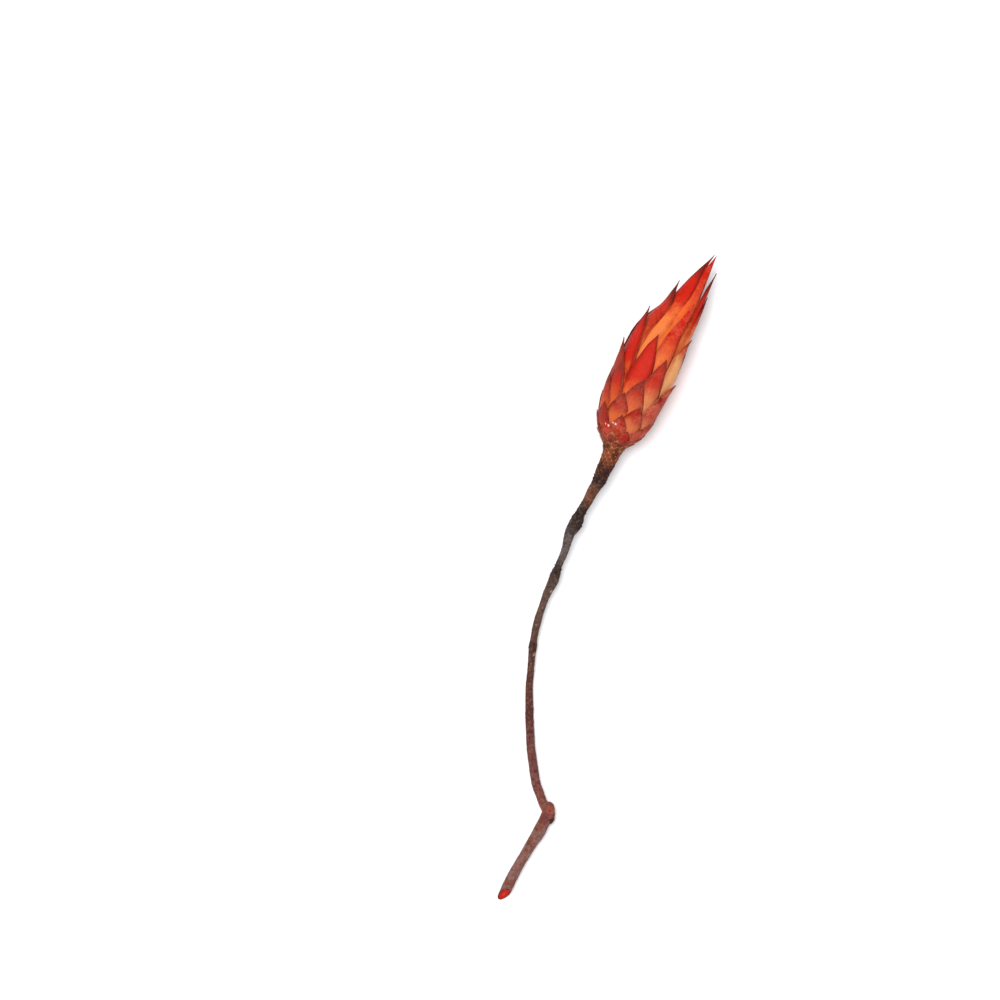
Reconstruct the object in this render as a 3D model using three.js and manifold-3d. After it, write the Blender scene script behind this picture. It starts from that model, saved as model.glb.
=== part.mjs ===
// A dried sugarbush flower lying on a flat surface: a scaly neck that swells into a goblet of overlapping
// bracts, closed at the top over its florets, on a thin crooked twig with its old wood, as it was cut.
// Millimetres. +Z is up, +Y runs from the cut end towards the flower's beak, and the origin is the flat spot
// under the flower's belly, on the surface that it lies on.
import * as THREE from 'three';
import { mergeVertices } from 'three/addons/utils/BufferGeometryUtils.js';
import Module from 'manifold-3d';

const wasm = await Module();
wasm.setup();

// ---------------------------------------------------------------- driving dimensions

const HEAD_LENGTH = 103.5; // from the neck, where the head starts to swell, to the tip of the beak
const GAP = 0.3; // clearance between neighbouring pieces
const GOLDEN_TURN = 137.5; // degrees from one bract to the next, round the head
const BEAK_TURN = 3; // degrees that the innermost bract is turned from straight up

// The line that the twig and the head grow along, from the branching point to the beak: x, y and height.
const TWIG_LINE = [
  [-44.5, -199.6, 3.0], [-46.1, -196.8, 2.8], [-47.8, -192.3, 2.5], [-49.7, -186.5, 2.2],
  [-51.7, -172.7, 1.85], [-52.5, -158.8, 1.65], [-52.7, -144.9, 2.0], [-52.2, -137.6, 2.5],
  [-51.5, -129.5, 3.2], [-50.6, -121.4, 4.0], [-48.8, -113.3, 4.9], [-46.9, -107.3, 5.6],
  [-44.6, -101.2, 6.3], [-41.8, -95.1, 7.0], [-39.6, -89.1, 7.7], [-36.4, -81.0, 8.7],
  [-34.5, -74.3, 9.5], [-31.8, -69.6, 10.1], [-29.6, -64.8, 10.7], [-26.8, -60.1, 11.2],
  [-24.4, -55.4, 11.7], [-21.4, -50.7, 12.1], [-19.4, -45.9, 12.4], [-16.3, -39.4, 12.8],
  [-12.4, -28.1, 13.4], [-6.8, -14.8, 14.0], [-1.9, -4.1, 14.3], [0.7, 1.4, 14.4], [6.3, 13.0, 14.5],
  [15.1, 25.1, 14.5], [23.4, 38.6, 14.4], [31.6, 51.3, 14.2],
];

// The older wood below the branching point, down to the cut.
const OLD_WOOD_LINE = [
  [-43.5, -199.5, 3.1], [-46.7, -205.9, 2.95], [-49.1, -210.4, 2.75], [-52.2, -215.3, 2.6],
  [-59.2, -227.2, 2.4], [-64.1, -237.4, 2.4], [-65.2, -240.2, 2.4],
];

// Outlines are pairs of distance along the line and radius. On the twig and head the distance is 0 at the neck
// and grows towards the beak. On the old wood it grows from the branching point to the cut.
const HEAD_OUTLINE = [
  [-18, 2.5], [-12, 3.0], [-7, 3.5], [0, 4.0], [3, 4.5], [6, 6.0], [9, 8.7], [12, 10.9], [18.3, 13.05],
  [26.5, 14.4], [38.2, 15.0], [44.3, 15.1], [57, 14.0], [65.4, 11.9], [72, 10.1], [79.2, 8.3], [88, 5.85],
  [93, 4.2], [98.2, 2.4], [HEAD_LENGTH, 0.8],
];
const TWIG_OUTLINE = [
  [-170, 1.95], [-162, 1.95], [-154, 2.0], [-140, 1.9], [-126, 1.8], [-105, 1.5], [-97, 1.55], [-93, 1.8],
  [-89, 1.5], [-80.8, 1.7], [-74.5, 1.55], [-68, 1.8], [-61.4, 2.3], [-58, 2.1], [-54.9, 1.6], [-46.3, 1.7],
  [-39.4, 2.3], [-34.5, 2.95], [-31.5, 2.7], [-28.7, 2.05], [-23.2, 2.15], [-18, 2.4], [-14.6, 2.6],
  [-12, 2.95], [-9, 3.0],
];
const OLD_WOOD_OUTLINE = [
  [0, 2.9], [7, 2.75], [10, 2.8], [12.5, 2.65], [15, 2.45], [18, 2.3], [31.7, 2.35], [43, 2.4], [46, 2.35],
];

// Where one piece gives way to the next, as a distance from the neck.
const NECK_FOOT = -9; // the neck's scales end here, and the twig's bark starts
const NECK_TOP = 8.2; // the outer bracts start here
const CUP_FLOOR = 11.5; // the inner bracts' woody base starts here
const BASE_TOP = 23; // and ends here, where the florets stand on it

// How high the tip of each bract stands, by its number: 0 is the innermost bract, the beak.
const TIP_HEIGHTS = [
  [0, 103.3], [3, 96], [8, 79.7], [12, 65], [16, 51.5], [21, 38.8], [26, 29.5], [34, 19.6], [44, 13],
  [58, 7.8], [78, 3], [112, -3], [156, -9], [190, -13],
];
const LAST_INNER = 14; // bracts up to this number are the long inner ones
const LAST_BLADE = 33; // then come outer ones with free tips, and below them ones that lie close
const LAST_OUTER = 57; // the rest are the small scales of the neck
const LAST_SCALE = 166;

// Length and greatest width of a bract with a free tip, by the height of its tip.
const BRACT_LENGTHS = [[13, 8], [20, 13], [30, 20], [52, 37], [80, 50], [104, 62]];
const BRACT_WIDTHS = [[13, 7], [20, 10], [30, 12], [52, 12], [80, 10.5], [104, 9]];
const BLADE = 0.7; // thickness of a bract
const BLADE_BOW = 0.84; // a blade is bowed more sharply than the head that it lies on

// Where this flower strays from the rule: by the bract's number, its turn in degrees, its rise, how much
// further its tip stands out, and its width as a share of what the rule gives.
const STRAYS = {
  0: [8, 0, 0.1, 1], 1: [80, 2.4, 0, 1], 2: [30, -8, -2.5, 0.8], 3: [6, 0.5, 1.9, 1], 4: [0, -1, 0, 1],
  5: [0, 8.4, 0.8, 1.4], 6: [-38, -1.5, 0.3, 0.85], 7: [59, 1.9, 2.7, 1.2], 8: [-1, -0.7, 0, 0.8],
  9: [0, -2, 0, 1], 10: [12, -5.9, 5.4, 1.05], 11: [-17, -2.6, 1.4, 1], 12: [32, 5, -0.1, 1.3],
  13: [1, -2.7, 0.4, 1], 14: [-14, 11, -0.1, 1.3], 15: [30, -2.6, 2.2, 1], 16: [-19, -1, 0.3, 1],
  18: [-5, -2.4, 0.3, 1], 19: [-32, -1.3, 1.6, 1], 20: [14, 0, 0, 1], 21: [-8, -0.8, 0.2, 1],
  23: [8, 0, 0.3, 1], 24: [-11, 1.5, 0.2, 1], 26: [4, 0, 0, 1], 29: [-12, 1, 0, 1], 32: [-16, 0, 0.3, 1],
  34: [-4, 0.5, 0, 1], 37: [-5, 0.4, 0, 1],
};

// Rings of old leaf scars, where the bark is thick and rough: distance from the neck, reach and height.
const SCAR_RINGS = [[-11, 2.5, 0.12], [-30, 4.5, 0.18], [-57, 4, 0.15], [-93, 2, 0.1], [-124, 3, 0.1]];

// ---------------------------------------------------------------- helpers

const radians = THREE.MathUtils.degToRad;
const fromTo = (first, last) => Array.from({ length: last - first + 1 }, (_, i) => first + i);

/** Value at x on a smooth curve through pairs [x, value], which stand in rising order of x. */
function along(pairs, x) {
  const last = pairs.length - 1;
  if (x <= pairs[0][0]) return pairs[0][1];
  if (x >= pairs[last][0]) return pairs[last][1];
  const i = pairs.findIndex((pair) => pair[0] > x) - 1;
  const slope = (k) => {
    const before = pairs[Math.max(k - 1, 0)];
    const after = pairs[Math.min(k + 1, last)];
    return (after[1] - before[1]) / (after[0] - before[0]);
  };
  const [[x0, v0], [x1, v1]] = [pairs[i], pairs[i + 1]];
  const t = (x - x0) / (x1 - x0);
  const bend = (x1 - x0) * t * (1 - t) * (slope(i) * (1 - t) - slope(i + 1) * t);
  return v0 + (v1 - v0) * t * t * (3 - 2 * t) + bend;
}

/** A line to grow along. Distances run from its start, or from the given length before its end. */
class GrowthLine {
  constructor(points, zeroFromEnd = null) {
    const knots = points.map((point) => new THREE.Vector3(...point));
    this.curve = new THREE.CatmullRomCurve3(knots, false, 'catmullrom', 0.5);
    this.curve.arcLengthDivisions = 1200;
    this.length = this.curve.getLength();
    this.zero = zeroFromEnd === null ? 0 : this.length - zeroFromEnd;
  }

  /** The point at a distance along the line and a radius from it, with turn 0 straight up. */
  place(distance, turn, radius) {
    const u = THREE.MathUtils.clamp((this.zero + distance) / this.length, 0, 1);
    const tangent = this.curve.getTangentAt(u);
    const beyond = this.zero + distance - u * this.length;
    const side = new THREE.Vector3(tangent.y, -tangent.x, 0).normalize();
    const up = new THREE.Vector3().crossVectors(side, tangent);
    return this.curve.getPointAt(u)
      .addScaledVector(tangent, beyond)
      .addScaledVector(up, radius * Math.cos(turn))
      .addScaledVector(side, radius * Math.sin(turn));
  }
}

/** A closed three.js geometry as a solid that can be joined and cut. */
function solidOf(geometry) {
  const bare = new THREE.BufferGeometry().setAttribute('position', geometry.getAttribute('position'));
  bare.setIndex(geometry.index);
  const merged = mergeVertices(bare, 1e-4);
  const corners = merged.index.array;
  const kept = [];
  for (let i = 0; i < corners.length; i += 3) {
    const [a, b, c] = corners.slice(i, i + 3);
    if (a !== b && b !== c && a !== c) kept.push(a, b, c);
  }
  const build = (triVerts) => new wasm.Manifold(new wasm.Mesh({
    numProp: 3,
    vertProperties: new Float32Array(merged.getAttribute('position').array),
    triVerts: new Uint32Array(triVerts),
  }));
  const made = build(kept);
  return made.volume() < 0 ? build(kept.reverse()) : made;
}

/** A geometry whose every point has been moved by a function of its old place. */
function reshaped(geometry, move) {
  const points = geometry.getAttribute('position');
  const point = new THREE.Vector3();
  for (let i = 0; i < points.count; i++) {
    const to = move(point.fromBufferAttribute(points, i));
    points.setXYZ(i, to.x, to.y, to.z);
  }
  return geometry;
}

/** A round rod along a growth line, from one distance to another, with radius(distance, turn). */
function rod(line, from, to, radius, sides, rings) {
  const round = new THREE.CylinderGeometry(1, 1, 1, sides, rings);
  return solidOf(reshaped(round, (p) => {
    const distance = from + (p.y + 0.5) * (to - from);
    const turn = Math.atan2(p.x, p.z);
    return line.place(distance, turn, Math.hypot(p.x, p.z) * radius(distance, turn));
  }));
}

/** A slim four-sided spike from a foot to a tip. */
function spike(foot, tip, radius) {
  const axis = tip.clone().sub(foot);
  const upright = new THREE.Vector3(0, 1, 0);
  const lean = new THREE.Quaternion().setFromUnitVectors(upright, axis.clone().normalize());
  const cone = new THREE.ConeGeometry(radius, axis.length(), 4).translate(0, axis.length() / 2, 0);
  return solidOf(cone.applyQuaternion(lean).translate(foot.x, foot.y, foot.z));
}

/** All solids joined, with scraps dropped, and nothing left below the surface that the flower lies on. */
function joined(solids) {
  const whole = wasm.Manifold.union(solids).trimByPlane([0, 0, 1], 0);
  return whole.decompose().sort((a, b) => b.volume() - a.volume())[0];
}

/** A solid as a named mesh with its finish. */
function meshOf(name, solid, colour, roughness) {
  const { numProp, numVert, vertProperties, triVerts } = solid.getMesh();
  const places = new Float32Array(numVert * 3);
  for (let i = 0; i < numVert; i++) places.set(vertProperties.subarray(i * numProp, i * numProp + 3), i * 3);
  const geometry = new THREE.BufferGeometry()
    .setAttribute('position', new THREE.BufferAttribute(places, 3))
    .setIndex(new THREE.BufferAttribute(triVerts, 1));
  geometry.computeVertexNormals();
  const looks = { color: colour, roughness, metalness: 0, flatShading: true };
  const mesh = new THREE.Mesh(geometry, new THREE.MeshStandardMaterial(looks));
  mesh.name = name;
  return mesh;
}

const stalk = new GrowthLine(TWIG_LINE, HEAD_LENGTH);
const oldWood = new GrowthLine(OLD_WOOD_LINE);
const headRadius = (height) => along(HEAD_OUTLINE, height);

// ---------------------------------------------------------------- bracts with free tips

const TIP_FLARE = 0.15; // how far a tip stands off the bracts under it
const FLARE_FROM = 0.65; // where a bract starts to stand off, as a share of its length
const LAYER_LENGTH = 13; // a long bract sinks by its own thickness each time it runs this far under others
const LAYER_SHARE = 0.45; // and a short one each time it runs this share of its length
const OUTER_TIPS = 52.5; // no outer bract's tip stands higher than this
const DEEPEST_OUTER = 1.7; // the feet of the outer bracts lie no deeper than this
const DEEPEST_ROOM = 2.7; // and the inner bracts no deeper than this below the head's outline
const WIDEST_AT = 0.42; // where a bract is widest, as a share of its length
const FOOT_WIDTH = 0.8; // width of a bract's foot, as a share of its greatest width
const TIP_WIDTH = 0.4; // a bract is never narrower than this
const CORE_RADIUS = 1.1; // nor nearer to the head's axis than this

/** Everything that the rule says of one bract. */
function bractOf(number) {
  const [turn, rise, stand, broad] = STRAYS[number] ?? [0, 0, 0, 1];
  const tip = along(TIP_HEIGHTS, number) + rise;
  return {
    tip,
    turn: radians(BEAK_TURN + GOLDEN_TURN * number + turn),
    flare: TIP_FLARE + stand,
    length: along(BRACT_LENGTHS, tip),
    width: along(BRACT_WIDTHS, tip) * broad,
    inner: number <= LAST_INNER,
  };
}

/** How deep the outer bracts lie on the inner ones at a height. */
function outerLayers(height) {
  const covered = OUTER_TIPS - height;
  return covered <= 0 ? 0 : Math.min(BLADE + GAP + (BLADE * covered) / LAYER_LENGTH, DEEPEST_ROOM);
}

/** Outside of the room that the inner bracts take up, within the outer ones. */
function innerRadius(height) {
  return headRadius(height) - outerLayers(height);
}

/** Radius of a bract's outer face at a height. */
function faceRadius(bract, height) {
  const sunk = (BLADE * (bract.tip - height)) / Math.min(LAYER_LENGTH, bract.length * LAYER_SHARE);
  const depth = bract.inner ? Math.max(sunk, outerLayers(height)) : Math.min(sunk, DEEPEST_OUTER);
  return Math.max(headRadius(height) - depth, CORE_RADIUS);
}

/** Width of a bract as a share of its greatest, from its foot (0) to its tip (1). */
function bractShape(t) {
  if (t < WIDEST_AT) {
    return FOOT_WIDTH + (1 - FOOT_WIDTH) * Math.sin((Math.max(t, 0) / WIDEST_AT) * (Math.PI / 2));
  }
  return 1 - Math.pow((t - WIDEST_AT) / (1 - WIDEST_AT), 1.55);
}

/** One bract as a thin blade that follows the head, pointed at the tip, from the height of its foot. */
function blade(bract, rows, foot) {
  const flat = new THREE.BoxGeometry(1, 1, 1, 2, rows, 1);
  return solidOf(reshaped(flat, (p) => {
    const height = foot + (p.y + 0.5) * (bract.tip - foot);
    const t = (height - (bract.tip - bract.length)) / bract.length;
    const flare = bract.flare * Math.pow(Math.max(0, (t - FLARE_FROM) / (1 - FLARE_FROM)), 2);
    const radius = faceRadius(bract, height) + flare;
    const half = Math.max(bract.width * bractShape(t), TIP_WIDTH) / 2;
    const bow = Math.max(radius * BLADE_BOW, half);
    const angle = (p.x * 2 * half) / bow;
    const bent = bow - (p.z > 0 ? 0 : BLADE);
    const out = radius - bow + bent * Math.cos(angle);
    const aside = bent * Math.sin(angle);
    return stalk.place(height, bract.turn + Math.atan2(aside, out), Math.hypot(aside, out));
  }));
}

// ---------------------------------------------------------------- bracts that lie close

// They meet their neighbours along two spirals, which join each bract to the ones that come this many places
// after it.
const RIGHT_SPIRAL = 8;
const LEFT_SPIRAL = 13;
const TIP_RISE = 0.04; // how far a close-lying tip stands above the head's outline, as a share of the radius
const CORNER_SINK = 0.055; // how far the corners between the tips lie below it
const CORNER_STEP = 0.02; // and how far above its tip each sunk corner lies

/**
 * Bracts that lie close, from one number to another, as a closed solid. Each is a keeled diamond under its own
 * raised tip, and its other three corners are sunk behind the tips of the bracts below it. A small wall joins
 * each tip to its sunk corner. swell makes the whole that much larger.
 */
function closeBracts(first, last, swell = 0) {
  const points = [];
  const addPoint = (height, turn, radius) => points.push(...stalk.place(height, turn, radius)) / 3 - 1;
  const bracts = fromTo(first, last + LEFT_SPIRAL + RIGHT_SPIRAL).map(bractOf);
  const tips = bracts.map(({ tip, turn }) => (
    addPoint(tip + swell, turn, headRadius(tip) * (1 + TIP_RISE) + swell)
  ));
  const corners = bracts.map(({ tip, turn }) => (
    addPoint(tip + swell + CORNER_STEP * headRadius(tip), turn, headRadius(tip) * (1 - CORNER_SINK) + swell)
  ));
  const faces = [];
  const openEdges = new Map();
  const addFace = (a, b, c) => {
    faces.push(a, b, c);
    [[a, b], [b, c], [c, a]].forEach(([from, to]) => {
      if (!openEdges.delete(`${to} ${from}`)) openEdges.set(`${from} ${to}`, [from, to]);
    });
  };
  for (let i = 0; i <= last - first; i++) {
    const right = corners[i + RIGHT_SPIRAL];
    const left = corners[i + LEFT_SPIRAL];
    const bottom = corners[i + LEFT_SPIRAL + RIGHT_SPIRAL];
    addFace(tips[i], bottom, right);
    addFace(tips[i], left, bottom);
    addFace(tips[i], right, corners[i]);
    addFace(tips[i], corners[i], left);
  }
  const top = addPoint(bracts[0].tip + swell, 0, 0);
  const foot = addPoint(bracts[bracts.length - 1].tip, 0, 0);
  const topRing = new Set(corners.slice(0, LEFT_SPIRAL + RIGHT_SPIRAL));
  [...openEdges.values()].forEach(([from, to]) => addFace(to, from, topRing.has(from) ? top : foot));
  const geometry = new THREE.BufferGeometry();
  geometry.setAttribute('position', new THREE.Float32BufferAttribute(points, 3));
  geometry.setIndex(faces);
  return solidOf(geometry);
}

// ---------------------------------------------------------------- the head's pieces

const SIDES = 16; // of the round bodies that bracts grow from
const WOOD_SIDES = 8;
const WOOD_TOP = NECK_TOP - 3; // the twig's wood ends here inside the neck
const WOOD_TAPER = 0.03;
const BRACT_COVER = 1.3; // the cup that the outer bracts grow from lies this deep
const BASE_COVER = 0.4; // and the base of the inner ones this deep within their room
const CUP_TOP = 31;
const LONGEST_OUTER = 31; // an outer bract shows no more of its length than this

/** Radius of the twig's wood inside the neck, with a clearance round it. */
const woodRadius = (clearance) => (height) => 1.9 - WOOD_TAPER * (height - NECK_FOOT) + clearance;

/** The neck's scales with no bore; swell makes them that much larger all over. */
const neckSolid = (swell = 0) => closeBracts(LAST_OUTER + 1, LAST_SCALE, swell);

/** The small scales of the neck, round the twig's wood. */
function neckScales() {
  const wellBelow = NECK_FOOT - 8;
  const bore = rod(stalk, wellBelow, WOOD_TOP, woodRadius(GAP), WOOD_SIDES, 4);
  const below = rod(stalk, wellBelow, NECK_FOOT, () => headRadius(NECK_TOP), WOOD_SIDES, 2);
  return joined([neckSolid().subtract(bore).subtract(below)]);
}

/** The outer bracts on the cup that they grow from, round the inner ones. */
function outerBracts() {
  const cup = rod(stalk, NECK_TOP - 2, CUP_TOP, (height) => headRadius(height) - BRACT_COVER, SIDES, 8);
  const roomTop = 2 * OUTER_TIPS - CUP_TOP;
  const room = rod(stalk, CUP_FLOOR, roomTop, (height) => innerRadius(height) + GAP, SIDES, 14);
  const lowest = closeBracts(LAST_BLADE + 1, LAST_OUTER);
  const blades = fromTo(LAST_INNER + 1, LAST_BLADE).map((number) => {
    const bract = bractOf(number);
    const shown = Math.min(bract.length, LONGEST_OUTER);
    return blade(bract, shown > 14 ? 6 : 4, bract.tip - shown);
  });
  return joined([wasm.Manifold.union([cup, lowest, ...blades]).subtract(room).subtract(neckSolid(GAP))]);
}

/** The long inner bracts on their woody base. */
function innerBracts() {
  const foot = CUP_FLOOR + GAP;
  const base = rod(stalk, foot, BASE_TOP, (height) => innerRadius(height) - BASE_COVER, SIDES, 5);
  const blades = fromTo(0, LAST_INNER).map((number) => blade(bractOf(number), 9, foot + 6));
  return joined([base, ...blades]);
}

const TUFT_OUTLINE = [[23.4, 6], [30, 8.3], [45, 8.9], [58, 8.4], [70, 6.2], [80, 4.0], [90, 1.7]];
const TUFT_TOP = 84;
const FLORETS_ROUND = 12; // florets that show on the outside of the tuft
const GROOVE = 0.12; // depth of the groove between two florets, as a share of the radius

/** The packed florets: a tuft of long straws, grooved between one straw and the next, with free tips. */
function florets() {
  const outline = (height, turn) => {
    const groove = (GROOVE * (1 - Math.cos(turn * FLORETS_ROUND))) / 2;
    return along(TUFT_OUTLINE, height) * (1 - groove);
  };
  const tuft = rod(stalk, BASE_TOP + GAP, TUFT_TOP, outline, FLORETS_ROUND * 2, 7);
  const tips = fromTo(1, FLORETS_ROUND / 2).map((i) => {
    const turn = (i / FLORETS_ROUND) * 4 * Math.PI;
    const top = TUFT_TOP + 4 + 2 * Math.sin(i);
    return spike(stalk.place(TUFT_TOP - 4, turn, 2), stalk.place(top, turn, 1.6), 0.7);
  });
  return joined([tuft, ...tips]);
}

// ---------------------------------------------------------------- stem

const BARK_SIDES = 10;
const BARK_RINGS = 58;
const OLD_RINGS = 14;
const BARK_WAVE = 0.07; // how far the bark strays from round
const STUBS = 24; // stumps of shed leaves
const CUT_BACK = 3.2; // how far before the old wood's end the slanted cut crosses its middle
const CUT_LEAN = [0.6, 0.4, 0.69]; // the cut's direction: outwards along the wood, to its right, and up
const KNUCKLE_CENTRE = new THREE.Vector3(-43.8, -200.5, 3.15);
const KNUCKLE_HALF = new THREE.Vector3(3.1, 5.2, 3.2);
const KNUCKLE_FLAT = 0.75; // the shoot's scar blunts the knuckle from this share of its half width

/** Radius of the twig's bark, rough at its rings of leaf scars. */
function barkRadius(distance, turn) {
  const rough = SCAR_RINGS.map(([at, reach, rise]) => (
    rise * Math.exp(-(((distance - at) / reach) ** 2)) * Math.sin(4 * turn + at)
  ));
  return along(TWIG_OUTLINE, distance) + BARK_WAVE * Math.sin(3 * turn + distance * 0.45)
    + rough.reduce((sum, rise) => sum + rise, 0);
}

/** Radius of the old wood's bark. */
function oldRadius(distance, turn) {
  return along(OLD_WOOD_OUTLINE, distance) + BARK_WAVE * Math.sin(2 * turn + distance * 0.3);
}

/** Stumps of shed leaves, short spikes that lean towards the flower, round the rings near the head. */
function leafStubs() {
  return fromTo(0, STUBS - 1).map((i) => {
    const [at, reach] = SCAR_RINGS[i % 3];
    const distance = at + reach * 0.6 * Math.sin(i * 3.1);
    const turn = radians(GOLDEN_TURN * i);
    const length = 0.7 + 0.2 * Math.cos(i * 1.7);
    const radius = barkRadius(distance, turn);
    const foot = stalk.place(distance, turn, radius - 0.4);
    return spike(foot, stalk.place(distance + length * 0.9, turn, radius + length * 0.75), 0.5);
  });
}

/** The older wood, cut off on a slant that faces up and to one side. */
function oldPiece() {
  const whole = rod(oldWood, 0, oldWood.length, oldRadius, BARK_SIDES, OLD_RINGS);
  const outward = oldWood.curve.getTangentAt(1);
  const sideways = new THREE.Vector3(0, 0, 1).cross(outward).normalize();
  const up = outward.clone().cross(sideways);
  const middle = oldWood.place(oldWood.length - CUT_BACK, 0, 0);
  const [lean, right, rise] = CUT_LEAN;
  const keep = outward.clone().multiplyScalar(-lean);
  keep.addScaledVector(sideways, -right).addScaledVector(up, -rise).normalize();
  return whole.trimByPlane(keep.toArray(), keep.dot(middle));
}

/** The swelling where a side shoot was cut off, with its blunt scar facing away from the bend. */
function knuckle() {
  return solidOf(reshaped(new THREE.SphereGeometry(1, 10, 8), (p) => {
    const blunt = Math.min(p.x, KNUCKLE_FLAT + (p.x - KNUCKLE_FLAT) * 0.4);
    return new THREE.Vector3(blunt, p.y, p.z).multiply(KNUCKLE_HALF).add(KNUCKLE_CENTRE);
  }));
}

/** The twig from its branching point up into the neck, with the old wood below. */
function stem() {
  const bark = rod(stalk, -stalk.zero, NECK_FOOT - GAP, barkRadius, BARK_SIDES, BARK_RINGS);
  const wood = rod(stalk, NECK_FOOT - 3, WOOD_TOP - GAP, woodRadius(0), WOOD_SIDES, 4);
  return joined([bark, wood, oldPiece(), knuckle(), ...leafStubs()]);
}

// ---------------------------------------------------------------- the flower

const flower = new THREE.Group();
flower.add(
  meshOf('stem', stem(), '#5a3a33', 0.85),
  meshOf('neck_scales', neckScales(), '#8a4a35', 0.7),
  meshOf('outer_bracts', outerBracts(), '#a8362c', 0.55),
  meshOf('inner_bracts', innerBracts(), '#d0451f', 0.5),
  meshOf('florets', florets(), '#e8b08c', 0.8),
);

export default flower;
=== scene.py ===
"""A dried, red-dyed sugarbush flower lying on a pale floor: bracts, scales, florets, twig and studio."""
import sys
import logging
import math
from dataclasses import dataclass, fields
from enum import Enum
from typing import Callable, Sequence, Union

import bpy
import numpy as np
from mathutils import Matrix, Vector, kdtree, noise


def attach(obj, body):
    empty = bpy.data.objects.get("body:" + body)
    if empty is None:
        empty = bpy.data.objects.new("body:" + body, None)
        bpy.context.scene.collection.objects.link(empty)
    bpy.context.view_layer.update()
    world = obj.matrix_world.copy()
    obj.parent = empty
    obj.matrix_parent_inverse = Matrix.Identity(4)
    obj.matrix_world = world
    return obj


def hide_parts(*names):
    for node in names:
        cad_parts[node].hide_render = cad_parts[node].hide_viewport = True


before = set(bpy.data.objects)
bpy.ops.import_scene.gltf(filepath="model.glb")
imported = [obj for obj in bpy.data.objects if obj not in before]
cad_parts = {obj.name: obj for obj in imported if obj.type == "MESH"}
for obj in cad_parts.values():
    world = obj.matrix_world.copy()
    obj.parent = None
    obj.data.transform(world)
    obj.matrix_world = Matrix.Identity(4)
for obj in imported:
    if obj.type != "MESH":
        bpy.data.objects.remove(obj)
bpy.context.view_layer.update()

log = logging.getLogger("sugarbush")

Pairs = Sequence[tuple[float, float]]
Place = tuple[float, float, float]
Shell = tuple[np.ndarray, list]
Feeds = dict[str | int, object]
Colour = tuple[float, float, float, float]

MM = 0.001  # sizes below are in millimetres, as in the CAD source, and become metres at the end

# ---------------------------------------------------------------- the flower's measures, as in the CAD source

HEAD_LENGTH = 103.5
GAP = 0.3
GOLDEN_TURN = 137.5
BEAK_TURN = 3

TWIG_LINE = [
    (-44.5, -199.6, 3.0), (-46.1, -196.8, 2.8), (-47.8, -192.3, 2.5), (-49.7, -186.5, 2.2),
    (-51.7, -172.7, 1.85), (-52.5, -158.8, 1.65), (-52.7, -144.9, 2.0), (-52.2, -137.6, 2.5),
    (-51.5, -129.5, 3.2), (-50.6, -121.4, 4.0), (-48.8, -113.3, 4.9), (-46.9, -107.3, 5.6),
    (-44.6, -101.2, 6.3), (-41.8, -95.1, 7.0), (-39.6, -89.1, 7.7), (-36.4, -81.0, 8.7),
    (-34.5, -74.3, 9.5), (-31.8, -69.6, 10.1), (-29.6, -64.8, 10.7), (-26.8, -60.1, 11.2),
    (-24.4, -55.4, 11.7), (-21.4, -50.7, 12.1), (-19.4, -45.9, 12.4), (-16.3, -39.4, 12.8),
    (-12.4, -28.1, 13.4), (-6.8, -14.8, 14.0), (-1.9, -4.1, 14.3), (0.7, 1.4, 14.4), (6.3, 13.0, 14.5),
    (15.1, 25.1, 14.5), (23.4, 38.6, 14.4), (31.6, 51.3, 14.2),
]
OLD_WOOD_LINE = [
    (-43.5, -199.5, 3.1), (-46.7, -205.9, 2.95), (-49.1, -210.4, 2.75), (-52.2, -215.3, 2.6),
    (-59.2, -227.2, 2.4), (-64.1, -237.4, 2.4), (-65.2, -240.2, 2.4),
]
HEAD_OUTLINE = [
    (-18, 2.5), (-12, 3.0), (-7, 3.5), (0, 4.0), (3, 4.5), (6, 6.0), (9, 8.7), (12, 10.9), (18.3, 13.05),
    (26.5, 14.4), (38.2, 15.0), (44.3, 15.1), (57, 14.0), (65.4, 11.9), (72, 10.1), (79.2, 8.3), (88, 5.85),
    (93, 4.2), (98.2, 2.4), (HEAD_LENGTH, 0.8),
]
TWIG_OUTLINE = [
    (-170, 1.95), (-162, 1.95), (-154, 2.0), (-140, 1.9), (-126, 1.8), (-105, 1.5), (-97, 1.55), (-93, 1.8),
    (-89, 1.5), (-80.8, 1.7), (-74.5, 1.55), (-68, 1.8), (-61.4, 2.3), (-58, 2.1), (-54.9, 1.6), (-46.3, 1.7),
    (-39.4, 2.3), (-34.5, 2.95), (-31.5, 2.7), (-28.7, 2.05), (-23.2, 2.15), (-18, 2.4), (-14.6, 2.6),
    (-12, 2.95), (-9, 3.0),
]
OLD_WOOD_OUTLINE = [
    (0, 2.9), (7, 2.75), (10, 2.8), (12.5, 2.65), (15, 2.45), (18, 2.3), (31.7, 2.35), (43, 2.4), (46, 2.35),
]
KNUCKLE_CENTRE = (-43.8, -200.5, 3.15)
KNUCKLE_HALF = (3.1, 5.2, 3.2)
KNUCKLE_FLAT = 0.75  # the shoot's scar blunts the knuckle from this share of its half width
CUT_BACK = 3.2  # how far before the old wood's end the slanted cut crosses its middle
CUT_LEAN = (0.6, 0.4, 0.69)  # the cut's direction: outwards along the wood, to its right, and up
TUFT_OUTLINE = [(23.4, 6), (30, 8.3), (45, 8.9), (58, 8.4), (70, 6.2), (80, 4.0), (90, 1.7)]
NECK_FOOT = -9
NECK_TOP = 8.2
CUP_FLOOR = 11.5
BASE_TOP = 23
CUP_TOP = 31

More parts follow.
